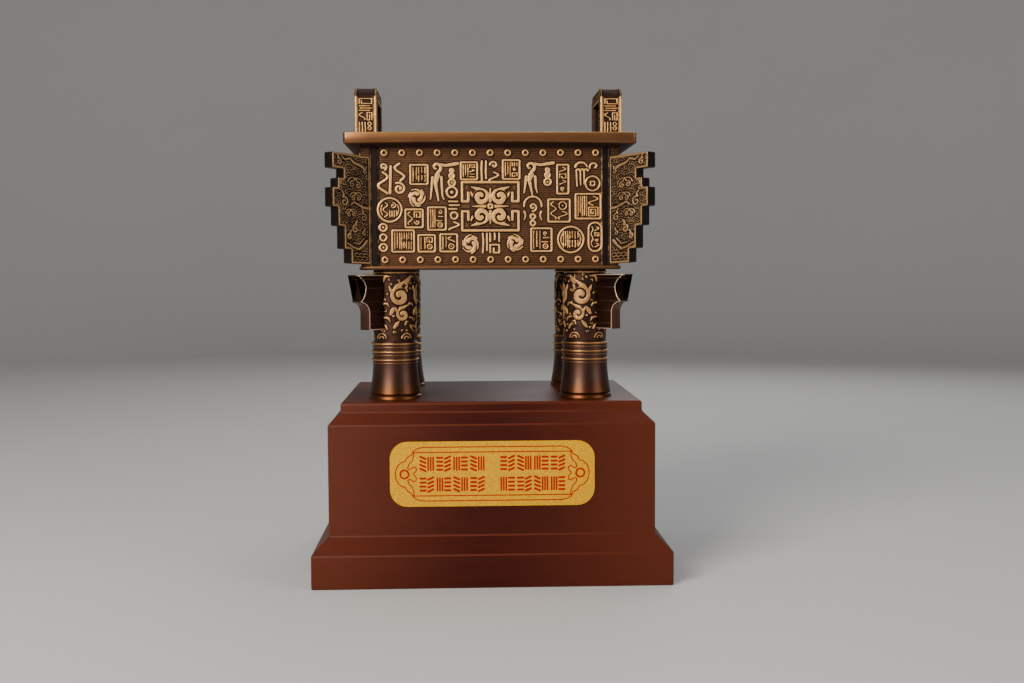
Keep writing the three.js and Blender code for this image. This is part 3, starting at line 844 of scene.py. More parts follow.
def scales(relief, radius, line):
    """Rows of nested arcs, each row over the one above it, as water is drawn."""
    across, up = relief.across, relief.up
    for row, z in enumerate(np.arange(up.max(), up.min() - radius, -0.62 * radius)):
        for x in np.arange(across.min() - row % 2 * radius, across.max() + radius, 2 * radius):
            inside = np.hypot(across - x, up - z) < radius
            relief.height[inside], relief.edge[inside] = 0, -relief.REACH
            for share in (1, 0.66, 0.33):
                relief.ring((x, z), share * radius - line / 2, line, 0.8)


def small_curls(relief, box, line, rng, tries, room):
    """Little hooked curls wherever no raised line comes within room."""
    for _ in range(tries):
        x, z = rng.uniform(box[0], box[1]), rng.uniform(box[2], box[3])
        spot = np.argmin(np.abs(relief.across - x) + np.abs(relief.up - z))
        if relief.edge.ravel()[spot] < -room:
            start = rng.uniform(0, 360)
            radius = rng.uniform(1.0, 1.7) * line
            relief.line(curve((x, z), radius, start, start + 230, radius * 0.5, 4), line)


# ---- Walls ----


def make_wall(name, relief, wall, turn, finish):
    """Makes a wall's relief. wall is how far its face stands from the middle, turn its direction."""
    cos, sin = math.cos(turn), math.sin(turn)

    def placed(out):
        x, y = relief.across, -(wall + out)
        return np.stack([x * cos - y * sin, x * sin + y * cos, relief.up + stand + LIFT], -1)

    behind = placed(np.full(relief.height.shape, -2.0))
    points, faces, picked = closed_sheet(placed(relief.height + 0.05), behind)
    casting = Casting()
    casting.add(points, faces, relief.edge.ravel()[picked])
    casting.make(name, [finish])


def wall_edges(relief, half):
    """A dark upright strip beside each corner, between two thin rubbed lines."""
    strips = ((10.7, 5.2, 0.8, -0.45), (7.7, 1.0, 1.1, -0.1), (13.6, 0.8, 0.7, -0.1))
    for side in SIDES:
        for inward, width, out, tone in strips:
            x = side * (half - inward)
            relief.line([(x, 3), (x, 97)], width, out, tone=tone)


def front_wall():
    rng = np.random.default_rng(27)
    relief = Relief.patch(-WIDTH / 2, WIDTH / 2, SHEET_LOW, SHEET_HIGH, 0.47)
    wall_edges(relief, WIDTH / 2)
    for form, *place in SEALS:
        seal(relief, form, *place, rng)
    cartouche(relief)
    finish = relief_bronze("bronze_seals", ground_lines=SCORE_PITCH * MM)
    make_wall("ding_front", relief, DEPTH / 2, 0, finish)


def plain_walls():
    """The back and the two ends, with a framed band of clouds on a scored ground."""
    finish = relief_bronze("bronze_clouds", ground_lines=SCORE_PITCH * MM)
    for name, length, wall, turn, clouds in (
        ("ding_back", WIDTH, DEPTH / 2, math.pi, 5),
        ("ding_end_right", DEPTH, WIDTH / 2, math.pi / 2, 3),
        ("ding_end_left", DEPTH, WIDTH / 2, -math.pi / 2, 3),
    ):
        relief = Relief.patch(-length / 2, length / 2, SHEET_LOW, SHEET_HIGH, 0.68)
        wall_edges(relief, length / 2)
        width, height = length * 0.66, CARTOUCHE_H + 14
        relief.frame((0, CARTOUCHE_Z), width, height, 2, 1.2)
        relief.frame((0, CARTOUCHE_Z), width - 7, height - 7, 1, 0.9)
        pitch = (width - 14) / clouds
        for i in range(clouds):
            x = (i - (clouds - 1) / 2) * pitch
            cloud_head(relief, (x, CARTOUCHE_Z + 8), pitch * 0.36, 1.6)
            cloud_head(relief, (x, CARTOUCHE_Z - 10), pitch * 0.36, 1.6, 180)
        make_wall(name, relief, wall, turn, finish)


def vessel_body():
    """Walls, ledge, rim and hollow as one skin, from the underside out, over the rim and down inside."""
    body, rim = np.array([WIDTH, DEPTH]) / 2, np.array([RIM_WIDTH, RIM_DEPTH]) / 2
    top, under = stand + RIM_TOP, stand + RIM_UNDER
    low = stand + LIFT
    ledge, ledge_top, ease, chip, rim_ease = body + LEDGE_OUT, low + LEDGE_HEIGHT, 0.9, 0.35, 1.2
    hollow, hole, floor = body - WALL, body - WALL - LIP, low + FLOOR
    # Half width and depth, height, corner radius, and how rubbed the metal is: positive values rub the edges
    # to gold, on the ledge and rim also standing for a painted highlight; negative values are painted shade,
    # under the rim, down the wall and on the ledge's face.
    outside = [
        (ledge - ease, low, 2, -0.8), (ledge, low + ease, 2, -0.7), (ledge, ledge_top - ease, 2, -0.4),
        (ledge - 0.3, ledge_top - 0.3, 2, 0.9), (ledge - ease, ledge_top, 2, 0.4),
        (body - 0.6, ledge_top, 1, -1), (body - 0.6, low + 50, 1, -1), (body, under - RIM_FILLET - 1, 1, -1),
        (body + 1.4, under - 1.2, 1.5, -0.9), (body + RIM_FILLET + 1.5, under, 3, -0.9),
        (rim - rim_ease, under, 3, -0.6), (rim - chip, under + chip, 3, 0.2), (rim, under + rim_ease, 3, 0.1),
        (rim, top - rim_ease, 3, 0.3), (rim - chip, top - chip, 3, 1), (rim - rim_ease, top, 3, 0.4),
        (hole + 1, top, 2, 0.3), (hole, top - 1, 2, 0.6),
    ]
    inside = [
        outside[-1], (hole, under + 1, 2, 0), (hole + 1, under, 2, 0), (hollow, under, 3, 0),
        (hollow, floor + 4, 3, 0), (hollow - 1.2, floor + 1.2, 3, 0), (hollow - 4, floor, 3, 0),
    ]

    def loops(rings):
        made = []
        for half, height, corner, _ in rings:
            plan = rounded_rectangle(*half, corner, side_steps=12)
            level = np.full(len(plan), height)
            if abs(height - under) < 1.5 and half[0] > body[0] + RIM_FILLET:
                level -= RIM_SAG * (plan[:, 0] / rim[0]) ** 2
            made.append(np.column_stack([plan, level]))
        return made

    casting = Casting()
    points, faces = loft(loops(outside), True, False)
    casting.add(points, faces, np.repeat([tone for *_, tone in outside], len(points) // len(outside)))
    points, faces = loft(loops(inside), False, True)
    casting.add(points, faces, 0.0, 1)
    smooth = smooth_bronze("bronze_smooth", (0.165, 0.070, 0.030), (0.26, 0.12, 0.052), GOLD_DULL, 0.6)
    casting.make("ding_body", [smooth, inner_bronze()], 35)


# ---- Corner flanges ----


def on_diagonal(points, x, y, side_x, side_y):
    """Places (reach, up, across) points on the diagonal that leaves a corner, up from the feet."""
    reach, up, across = np.moveaxis(np.asarray(points, float), -1, 0)
    way_x, way_y = side_x / math.sqrt(2), side_y / math.sqrt(2)
    placed_x = side_x * x + reach * way_x + across * way_y
    placed_y = side_y * y + reach * way_y - across * way_x
    return np.stack([placed_x, placed_y, up + stand], -1)


def outward(faces, side):
    """Faces turned round where their piece is a mirror image."""
    return [np.atleast_2d(group)[:, ::-1] if side < 0 else group for group in faces]


def flange_outline():
    corners = [(-FLANGE_ROOT, FLANGE_FOOT, 0)]
    bottom = FLANGE_FOOT
    for reach, top in FLANGE_STEPS:
        corners += [(reach, bottom, 1.1), (reach, top, 1.1)]
        bottom = top
    corners.append((-FLANGE_ROOT, bottom, 0))
    return rounded_outline(corners, 3)


def tilted(points):
    """The flange's level edges rise a little outwards."""
    made = np.array(points, float)
    made[..., 1] += FLANGE_RISE * (made[..., 0] - FLANGE_TIP) + LIFT
    return made


# Cloud heads: middle, size, line and turn.
FLANGE_HEADS = [((10.2, 69.2), 6.0, 1.2, 4), ((9.3, 58.6), 5.0, 1.1, -4), ((14.4, 45.4), 4.5, 1.2, -6)]
# Curls with a horn: middle, size, the side that the horn is on, and line.
FLANGE_CURLS = [
    ((10.4, 34.0), 3.9, -1, 2.0), ((16.2, 27.6), 2.9, -1, 1.6), ((21.3, 55.0), 4.6, 1, 1.7),
    ((25.5, 66.0), 3.4, -1, 1.4), ((1.6, 43.7), 3.8, 1, 1.3), ((1.2, 31.0), 2.6, -1, 1.2),
    ((26.5, 86.0), 3.2, 1, 1.5), ((-0.5, 80.5), 2.6, -1, 1.2),
]
# Ridges: points, line, height, and the line's end.
FLANGE_RIDGES = [
    ([(-3, 51.5), (2, 51.8), (6.7, 53.6), (11.7, 55.4), (14.8, 53)], 2.4, 1.1, 1.2),
    ([(1.5, 83.6), (5, 85.2), (10.7, 86.4), (15.5, 89.6), (20.5, 88.2), (24, 90.5)], 2.6, 1.1, 1.4),
    ([(-1.5, 25.2), (2, 21.4), (6.7, 18.0), (12.5, 19.4), (18.8, 22.4)], 2.5, 1.2, 1.6),
    ([(1.5, 27), (6.7, 22.2), (12.2, 23)], 1.2, 1.0, 1.2),
]


def flange_clouds():
    """Cloud heads, curls and ridges over close waves, with level ripples at the foot."""
    top = FLANGE_STEPS[-1][1]
    relief = Relief.patch(-FLANGE_ROOT + 1, FLANGE_TIP - 1, FLANGE_FOOT + 0.8, top - 0.6, 0.45, 0.5)
    relief.line([(-4.3, FLANGE_FOOT), (-4.3, top)], 1.1, 1.1)
    for head in FLANGE_HEADS:
        cloud_head(relief, *head)
    for centre, size, hand, width in FLANGE_CURLS:
        horn = [(0.5 * size, 1.75 * size), (0.1 * size, 1.2 * size)]
        curl = np.concatenate([horn, curve((0, 0), 0.86 * size, 65, 65 + 430, 0.18 * size)])
        relief.line(curl * [hand, 1] + centre, width, 1.2, width * 0.8)
    for ridge in FLANGE_RIDGES:
        relief.line(*ridge)
    for level in (9.8, 12.2, 14.6):
        x = np.linspace(-3, 12.6, 27)
        relief.line(np.column_stack([x, level + 0.55 * np.sin(x * 1.3 + level)]), 0.95)
    waves = Relief(relief.across, relief.up, 0.5)
    scales(waves, 5.2, 0.75)
    waves.under(relief)
    return waves


def flange_faces():
    """Both carved faces of a flange inside its border: points, faces and how rubbed each point is."""
    relief = flange_clouds()
    ends, tops = np.array(FLANGE_STEPS).T
    margin = FLANGE_BORDER / 2
    middles = (relief.up[:-1, 0] + relief.up[1:, 0]) / 2
    steps = [np.searchsorted(tops, middles + shift).clip(0, len(ends) - 1) for shift in (-margin, margin)]
    kept = relief.across[:-1, 1:] < (np.minimum(*ends[steps]) - margin)[:, None]
    base = FLANGE_THICK / 2 - FLANGE_SUNK
    for face in SIDES:
        outs = face * (base + 0.1 + relief.height * 0.5), np.full(relief.up.shape, face * (base - 0.6))
        sheets = [np.stack([relief.across, relief.up, out], -1) for out in outs]
        points, faces, picked = closed_sheet(*sheets, kept)
        yield tilted(points), outward(faces, face), relief.edge.ravel()[picked] - 0.1


def corner_flanges():
    outline = flange_outline()
    core_points, core_faces = loft(slab(inset(outline, 0.6), FLANGE_THICK - 1.7, 0.2))
    bar_points, *bars_made = bar_frame(outline, FLANGE_BORDER, FLANGE_THICK, 0.45)
    surfaces = [(tilted(core_points), core_faces, -0.6), (tilted(bar_points), *bars_made), *flange_faces()]
    finishes = [relief_bronze("bronze_flange", (0.46, 0.28, 0.12), (0.22, 0.115, 0.045))]
    for corner in CORNERS:
        casting = Casting()
        for points, *rest in surfaces:
            casting.add(on_diagonal(points, WIDTH / 2, DEPTH / 2, *corner), *rest)
        casting.make(corner_name("flange", *corner), finishes)


# ---- Ears ----


def ear_path():
    """The middle line of an ear in (y, height), with its outward direction and length along the band."""
    half, rise = (EAR_WIDTH - EAR_THICK) / 2, EAR_HEIGHT - EAR_THICK / 2
    bend = EAR_SHOULDER - EAR_THICK / 2
    post = np.linspace(-2, rise - bend, 84)
    turn = np.linspace(0, math.pi / 2, 21)[1:-1]
    lintel = np.linspace(bend - half, 0, 34)
    y = np.concatenate([0 * post - half, bend - half - bend * np.cos(turn), lintel])
    z = np.concatenate([post, rise - bend + bend * np.sin(turn), 0 * lintel + rise])
    out_y = np.concatenate([0 * post - 1, -np.cos(turn), 0 * lintel])
    out_z = np.concatenate([0 * post, np.sin(turn), 0 * lintel + 1])
    points, normals = np.column_stack([y, z]), np.column_stack([out_y, out_z])
    points = np.concatenate([points, (points * [-1, 1])[-2::-1]])
    normals = np.concatenate([normals, (normals * [-1, 1])[-2::-1]])
    outer = points + normals * EAR_THICK / 2
    length = np.concatenate([[0], np.cumsum(np.linalg.norm(np.diff(outer, axis=0), axis=1))])
    return points, normals, length


def ear_band_relief(relief, total, post, rng):
    """Thin borders up one side, over and down, with close-set strokes on each post."""
    half = EAR_BAND / 2
    for side in SIDES:
        relief.line([(side * (half - 1.1), 0), (side * (half - 1.1), total)], 1.5, 0.9)
        relief.line([(side * (half - 2.6), 0), (side * (half - 2.6), total)], 0.5, 0.5, tone=0.0)
    left, right, line = -half + 3.5, half - 3.5, 0.95
    middle = (left + right) / 2
    rows = (
        (left, middle, 0, 15.5, bars), (middle + 0.8, right, 0, 7.3, meander),
        (middle + 0.8, right, 8.2, 15.5, beads), (left, middle, 16.4, 23.4, ripple),
        (middle + 0.8, right, 16.4, 23.4, meander), (left, right, 24.3, 29.0, rungs),
        (left, right, 29.9, post - 1.5, meander),
    )
    for far in (False, True):
        for start, stop, low, high, motif in rows:
            motif(relief, (start, stop, *((total - high, total - low) if far else (low, high))), line, rng)
    relief.edge[(relief.up > post) & (relief.up < total - post)] -= 0.55


def ears():
    path, normals, length = ear_path()
    total = length[-1]
    half, thick = EAR_BAND / 2, EAR_THICK / 2
    ease = 0.6
    band = np.linspace(-half + ease, half - ease, 54)
    side = np.linspace(thick - ease, -thick + ease, 20)
    inner = np.linspace(half - ease, -half + ease, 9)
    section_x = np.concatenate([band, np.full(len(side), half), inner, np.full(len(side), -half)])
    section_n = np.concatenate([np.full(len(band), thick), side, np.full(len(inner), -thick), side[::-1]])
    out_x = np.concatenate([0 * band, np.ones(len(side)), 0 * inner, -np.ones(len(side))])
    out_n = np.concatenate([np.ones(len(band)), 0 * side, -np.ones(len(inner)), 0 * side])
    finishes = [relief_bronze("bronze_ear")]
    for place in SIDES:
        height = np.zeros((len(path), len(section_x)))
        edge = np.full(height.shape, -0.7)
        over = Relief(band[None, :], length[:, None], 0.5)
        ear_band_relief(over, total, EAR_HEIGHT - EAR_SHOULDER / 2, np.random.default_rng(31 + place))
        height[:, :len(band)], edge[:, :len(band)] = over.height * 0.75 - 0.55, over.edge
        for start in (len(band), len(band) + len(side) + len(inner)):
            face = Relief(section_n[None, start:start + len(side)], length[:, None] * 0.86, 0.5)
            for across in (thick - 1.2, 1.2 - thick):
                face.line([(across, 0), (across, total)], 1.5, 0.7)
            for along in np.arange(4, total * 0.86, 7.4):
                face.line(curve((0, along), 2.7, 60, 420, 0.6), 1.0, 0.7)
                face.line([(2.6, along + 3), (-2.6, along + 4.2)], 0.9, 0.7)
            height[:, start:start + len(side)] = face.height - 0.55
            edge[:, start:start + len(side)] = face.edge - 0.3
        x = section_x[None, :] + out_x[None, :] * height + EAR_X * place
        n = section_n[None, :] + out_n[None, :] * height
        y = path[:, :1] + normals[:, :1] * n
        z = path[:, 1:] + normals[:, 1:] * n + stand + RIM_TOP
        casting = Casting()
        casting.add(*loft(np.stack(np.broadcast_arrays(x, y, z), -1)), edge)
        casting.make(f"ear_{'right' if place > 0 else 'left'}", finishes)


# ---- Legs ----


def leg_scroll(relief, centre, radius, hand, tail, out=1.5):
    """A comma: a disc cut by one spiral groove, with a horn that sweeps up and off it."""
    def placed(points):
        return np.asarray(points, float) * [hand * radius, radius] + centre

    relief.dot(centre, radius, out)
    relief.line(placed([(-0.4, 0.2), (-0.2, 1.0), tail]), radius * 1.15, out, 0.7)
    relief.line(placed([(-0.5, 0.1), (-1.0, 0.75), (-1.15, 1.2)]), radius * 0.6, out, 0.7)
    relief.cut(placed(curve((0.04, 0), 1.06, -42, 300, 0.2, 26)), 0.15 * radius, 0.21 * radius)


def leaf(relief, root, tip, width, out, bow):
    """A pointed leaf, broadest near its root."""
    root, tip = np.array(root, float), np.array(tip, float)
    middle = (root + tip) / 2 + bow * np.array([root[1] - tip[1], tip[0] - root[0]])
    relief.line([root, middle], width * 0.7, out, width)
    relief.line([middle, tip], width, out, 0.5)


# Leaves round a leg's scrolls: root, tip, width and bow.
LEG_LEAVES = [
    ((-9, 95.5), (-1.5, 100.2), 2.4, 0.35), ((10.5, 94.5), (13, 100), 3.6, 0),
    ((-8.5, 78.6), (-3.4, 75.2), 1.9, 0.2), ((-2.6, 69.6), (0.4, 75.4), 3.6, 0),
    ((-8.2, 66.8), (-2.6, 62.8), 2.0, 0.25), ((0.4, 58.6), (4.6, 64.0), 3.2, 0),
    ((9.5, 60.6), (13.5, 63.4), 1.9, 0.3), ((-10.4, 88), (-9.2, 94), 2.2, 0.2),
    ((-5.4, 57.2), (-7.6, 61.2), 2.2, 0),
]


def leg_relief(hand):
    """The carved upper leg, unrolled: across is the distance round it, 0 at the front."""
    around = math.pi * LEG_RADIUS
    relief = Relief.patch(-around, around, COLLAR_TOP - 1, LIFT + 1, 0.56, 0.55)
    for column in range(-2, 3):
        x = column * around / 2.5
        leg_scroll(relief, (x + hand * 4.6, 84.4), 7.4, hand, (0.95, 1.85))
        leg_scroll(relief, (x + hand * 7.2, 69.2), 5.2, hand, (1.5, 1.7), 1.4)
        for root, tip, width, bow in LEG_LEAVES:
            leaf(relief, (x + hand * root[0], root[1]), (x + hand * tip[0], tip[1]), width, 1.15, hand * bow)
        for side in (-1, 1):
            across = x + side * 0.25 * around / 1.25
            for radius in (4.6, 4.6 - 2.1 * 1.15):
                relief.line(curve((across, 49.2), radius, 5, 175), 1.15)
            relief.dot((across, 56.2), 0.9, 0.9)
    small_curls(relief, (-around + 2, around - 2, 54, 101), 0.85, np.random.default_rng(12), 260, 1.3)
    relief.line([(-around, LIFT - 2), (around, LIFT - 2)], 1.5, 1.1)
    return relief


def leg_columns():
    finishes = [relief_bronze("bronze_leg", (0.60, 0.32, 0.11), (0.34, 0.15, 0.048))]
    for side_x, side_y in CORNERS:
        relief = leg_relief(-side_x)
        angle = relief.across / LEG_RADIUS
        radius = LEG_RADIUS - 0.3 + relief.height * 0.85
        x = side_x * LEG_X + radius * np.sin(angle)
        y = side_y * LEG_Y + side_y * radius * np.cos(angle)
        points, faces = loft(np.stack([x, y, relief.up + stand], -1)[:, :-1])
        casting = Casting()
        casting.add(points, outward(faces, -side_y), relief.edge[:, :-1])
        casting.make(corner_name("leg", side_x, side_y), finishes)


def wing_outline():
    """The scalloped flange of a leg, in (reach from the leg's middle, height)."""
    root, steps = LEG_RADIUS / 2, 10
    shank_top, waist = (WING_SHANK, WING_SHANK_TOP), (WING_WAIST, WING_WAIST_HEIGHT)
    cusp, cusp_top = (WING_CUSP_REACH, WING_CUSP), (WING_CUSP_REACH, WING_CUSP + 0.9)
    tip = (WING_TIP, WING_TOP)
    return np.concatenate([
        [(root, WING_BOTTOM), (WING_SHANK, WING_BOTTOM)],
        bend(shank_top, (WING_SHANK + 1.5, WING_CUSP - 1), cusp, steps),
        bend(cusp_top, (WING_WAIST + 1, WING_CUSP + 3.6), waist, steps),
        bend(waist, (WING_WAIST, WING_TOP - 5), tip, steps)[1:-1],
        [(WING_TIP, WING_TOP - 0.8), tip, (root, WING_TOP)],
    ])


def leg_wings():
    """Leg flanges: smooth plates with a rubbed edge line, divided by level ridges where the outline turns."""
    outline = wing_outline()
    plate = loft(slab(inset(outline, 0.5), WING_THICK - 0.6, 0.3))
    frame_points, frame_faces, frame_tones = bar_frame(outline, 0.9, WING_THICK, 0.25)
    # Tone -1 gives the plates smooth_bronze's painted shade in full, and -0.5 gives it to the ridges in part.
    surfaces = [(*plate, -1), (frame_points, frame_faces, np.maximum(frame_tones * 2, -0.2))]
    for reach, height in ((WING_SHANK, WING_SHANK_TOP), (WING_CUSP_REACH - 2, WING_CUSP + 0.4),
                          (WING_WAIST, WING_WAIST_HEIGHT), (WING_SHANK, 61.6), (WING_TIP - 2, 98.2)):
        low, high, end = height - 0.5, height + 0.5, reach - 1
        ridge = rounded_outline([(8, low, 0.2), (end, low, 0.2), (end, high, 0.2), (8, high, 0.2)], 2)
        surfaces.append((*loft(slab(ridge, WING_THICK + 0.1, 0.3)), -0.5))
    finish = smooth_bronze("bronze_wing", (0.095, 0.040, 0.026), (0.17, 0.080, 0.050), (0.86, 0.60, 0.42))
    casting = Casting()
    for corner in CORNERS:
        for points, faces, tones in surfaces:
            casting.add(on_diagonal(points, LEG_X, LEG_Y, *corner), faces, tones)
    casting.make("leg_wings", [finish], 35)


# ---- Repeated work, made with Geometry Nodes ----


class Repeat(Tree):
    """A Geometry Nodes tree with named inputs, baked to a plain mesh."""

    def __init__(self, name):
        super().__init__(bpy.data.node_groups.new(name, "GeometryNodeTree"))
        self.name, self.values = name, {}
        self.tree.interface.new_socket("Geometry", in_out="OUTPUT", socket_type="NodeSocketGeometry")
        self.inputs = self.tree.nodes.new("NodeGroupInput")

    def input(self, name, kind, value):
        """A named input of the tree, such as Float or Object, with its value."""
        socket = self.tree.interface.new_socket(name, in_out="INPUT", socket_type=f"NodeSocket{kind}")
        self.values[socket.identifier] = value
        return Signal(self, self.inputs.outputs[name])

    def sizes(self, **lengths):
        """Named inputs for lengths given in millimetres."""
        titles = [name.replace("_", " ").title() for name in lengths]
        return [self.input(title, "Float", size * MM) for title, size in zip(titles, lengths.values())]

    def circle(self, sides, radius):
        sockets = {"Resolution": sides, "Radius": radius}
        return self.node("GeometryNodeCurvePrimitiveCircle", {"mode": "RADIUS"}, sockets)

    def rows(self, instance, count, start, offset):
        """Copies of a shape along a line."""
        sockets = {"Count": count, "Start Location": start, "Offset": offset}
        points = self.node("GeometryNodeMeshLine", {}, sockets)
        return self.node("GeometryNodeInstanceOnPoints", {}, {"Points": points, "Instance": instance})

    def join(self, parts):
        joined = self.tree.nodes.new("GeometryNodeJoinGeometry")
        for part in parts:
            self.tree.links.new(part.socket, joined.inputs[0])
        return Signal(self, joined.outputs[0])

    def bake(self, geometry, material):
        """The plain mesh of the finished tree."""
        realized = self.node("GeometryNodeRealizeInstances", {}, {0: geometry})
        dressed = self.node("GeometryNodeSetMaterial", {}, {"Geometry": realized, "Material": material})
        self.node("NodeGroupOutput", {}, {0: dressed})
        holder = bpy.data.objects.new(self.name, bpy.data.meshes.new(self.name))
        bpy.context.scene.collection.objects.link(holder)
        modifier = holder.modifiers.new("repeat", "NODES")
        modifier.node_group = self.tree
        for identifier, value in self.values.items():
            modifier[identifier] = value
        graph = bpy.context.evaluated_depsgraph_get()
        mesh = bpy.data.meshes.new_from_object(holder.evaluated_get(graph))
        bpy.data.objects.remove(holder)
        return mesh

    def point(self, x=0.0, y=0.0, z=0.0):
        return self.node("ShaderNodeCombineXYZ", {}, {0: x, 1: y, 2: z})


def stud_object():
    """One stud, standing along -Y: a low dome with a ringed, dimpled tip."""
    profile = [(0, 0.8, -1.3), (1.1, 1.0, -1.2), (1.45, 2.3, 0.3), (1.9, 2.75, 0.8), (2.4, 2.6, 0.7),
               (2.8, 1.7, 0.2), (STUD_RADIUS, 0.6, -0.6), (STUD_RADIUS + 0.1, -0.3, -1.4)]
    sides = 14
    turns = np.arange(sides) * 2 * math.pi / sides
    points, raised = [(0, -profile[0][1], 0)], [profile[0][2]]
    for radius, out, tone in profile[1:]:
        points += [(radius * math.cos(a), -out, radius * math.sin(a)) for a in turns]
        raised += [tone] * sides
    faces = [(0, 1 + i, 1 + (i + 1) % sides) for i in range(sides)]
    faces += [tuple(quad + 1) for quad in grid_faces(len(profile) - 1, sides, wrap=True)[:, ::-1]]
    faces.append(tuple(range(1 + (len(profile) - 2) * sides, 1 + (len(profile) - 1) * sides)))
    mesh = bpy.data.meshes.new("stud")
    mesh.from_pydata((np.array(points) * MM).tolist(), [], faces)
    set_raised(mesh, raised)
    return bpy.data.objects.new("stud", mesh)


def studs():
    """Two rows of studs on each of the four walls."""
    stud = stud_object()
    repeat = Repeat("stud_rows")
    source = {"Object": repeat.input("Stud", "Object", stud)}
    shape = repeat.node("GeometryNodeObjectInfo", {}, source, "Geometry")
    low = stand + LIFT
    pitch, lower, upper = repeat.sizes(
        pitch=STUD_PITCH, lower_row=low + STUD_LOWER, upper_row=low + STUD_UPPER,
    )
    material = repeat.input("Finish", "Material", relief_bronze("bronze_stud"))
    walls = []
    for name, number, wall, turn in (
        ("Front", STUDS_LONG, DEPTH / 2, 0.0), ("Back", STUDS_LONG, DEPTH / 2, math.pi),
        ("Right", STUDS_SHORT, WIDTH / 2, math.pi / 2), ("Left", STUDS_SHORT, WIDTH / 2, -math.pi / 2),
    ):
        count = repeat.input(f"{name} Count", "Int", number)
        face = repeat.input(f"{name} Wall", "Float", wall * MM)
        start = (count - 1) * pitch * -0.5
        for row in (lower, upper):
            placed = repeat.rows(shape, count, repeat.point(start, face * -1, row), repeat.point(pitch))
            turned = {"Geometry": placed, "Rotation": (0, 0, turn)}
            walls.append(repeat.node("GeometryNodeTransform", {}, turned))
    mesh = repeat.bake(repeat.join(walls), material)
    bpy.data.objects.remove(stud)
    add_piece("studs", mesh, 35)


def feet():
    """The flared feet and their ring lines, at the four corners of the legs' plan."""
    repeat = Repeat("flared_feet")
    collar, foot, top, flare_top, spread_x, spread_y, pitch, first = repeat.sizes(
        collar_radius=COLLAR_RADIUS, foot_radius=FOOT_RADIUS, collar_top=COLLAR_TOP, flare_top=FLARE_TOP,
        legs_apart_x=2 * LEG_X, legs_apart_y=2 * LEG_Y, ring_pitch=RING_PITCH, first_ring=FIRST_RING,
    )
    material = repeat.input("Finish", "Material", foot_bronze())

    axis = repeat.node("GeometryNodeCurvePrimitiveLine", {}, {"End": repeat.point(z=top)})
    axis = repeat.node("GeometryNodeResampleCurve", {}, {"Curve": axis, "Count": 90})
    place = repeat.node("GeometryNodeInputPosition")
    height = repeat.node("ShaderNodeSeparateXYZ", {}, {0: place}, output="Z")
    share = (1 - height / flare_top).at_least(0.0)
    groove = height.step(2.2 * MM, 3.0 * MM) * (1 - height.step(3.4 * MM, 4.2 * MM)) * (0.9 * MM)
    shoulder = height.step(top - 1.6 * MM, top) * ((COLLAR_RADIUS - LEG_RADIUS) * MM)
    parts = [repeat.node("GeometryNodeCurveToMesh", {}, {
        "Curve": axis, "Profile Curve": repeat.circle(96, 1.0), "Fill Caps": True,
        "Scale": collar + (foot - collar) * share**1.7 - groove - shoulder,
    })]
    # Three rings, each a thick line with a thin one under it: drop, line, how far out, and rubbing.
    for drop, line, out, rubbed in ((0.0, 0.85, 0.55, 1.0), (2.6, 0.5, 0.15, 0.5)):
        hoop = repeat.node("GeometryNodeCurveToMesh", {}, {
            "Curve": repeat.circle(96, collar + out * MM), "Profile Curve": repeat.circle(12, line * MM),
        })
        hoop = repeat.node("GeometryNodeStoreNamedAttribute", {"data_type": "FLOAT", "domain": "POINT"}, {
            "Geometry": hoop, "Name": RAISED, "Value": rubbed,
        })
        parts.append(repeat.rows(hoop, 3, repeat.point(z=first - drop * MM), repeat.point(z=pitch)))
    legs = repeat.node("GeometryNodeMeshGrid", {}, {
        "Size X": spread_x, "Size Y": spread_y, "Vertices X": 2, "Vertices Y": 2,
    })
    sockets = {"Points": legs, "Instance": repeat.join(parts)}
    placed = repeat.node("GeometryNodeInstanceOnPoints", {}, sockets)
    sockets = {"Geometry": placed, "Translation": (0, 0, stand * MM)}
    lifted = repeat.node("GeometryNodeTransform", {}, sockets)
    add_piece("feet", repeat.bake(lifted, material), 50)


# ---- Plinth and plate ----


def plinth():
    """Base, chamfer, block, shoulder and tier as one moulded skin with eased edges."""
    corners = np.array([(30, 0), *PLINTH_STEPS, (60, stand)], float)
    eases = [*[PLINTH_EASE] * (len(PLINTH_STEPS) - 1), TIER_EASE]
    # How much lighter each loop of an eased edge is, as worn lacquer and a painted highlight: most along its
    # middle.
    worn = [0.1, *np.sqrt(np.sin(math.pi * np.array([0.25, 0.5, 0.75]))), 0.1]
    loops, tones = [], []
    for before, corner, after, ease in zip(corners, corners[1:], corners[2:], eases):
        start, end = corner + ease * unit(before - corner), corner + ease * unit(after - corner)
        for (inward, level), tone in zip(bend(start, corner, end, 4), worn):
            half = np.array([plinth_half_x - inward, plinth_half_y - inward])
            plan = rounded_rectangle(*half, PLINTH_CORNER, side_steps=2, corner_steps=5)
            from_corner = (half - np.abs(plan)).sum(axis=1)
            loops.append(np.column_stack([plan, np.full(len(plan), level)]))
            # Corners are lightest: worn lacquer and a painted highlight.
            tones.append(np.where(from_corner < 1.7, 0.8, tone))
    casting = Casting()
    casting.add(*loft(loops), np.concatenate(tones))
    casting.make("plinth_block", [lacquer()], 35, "plinth")


def stroke_mark(relief, centre, size, turn):
    """A printed mark of close-set dashes in two columns: level, slanting or upright by turns."""
    (x, z), half = centre, size / 2
    for side in SIDES:
        kind = (turn + (side > 0)) % 3
        low, high = (x + 0.45, x + half) if side > 0 else (x - half, x - 0.45)
        if kind == 2:
            for across in (low + 0.65, (low + high) / 2, high - 0.65):
                relief.line([(across, z + half - 0.7), (across, z - half + 0.7)], 1.4)
            continue
        lean = 0.9 if kind else 0
        for share in (0.84, 0.28, -0.28, -0.84):
            level = z + share * half
            relief.line([(low + 0.6, level - lean * side), (high - 0.6, level + lean * side)], 1.75)


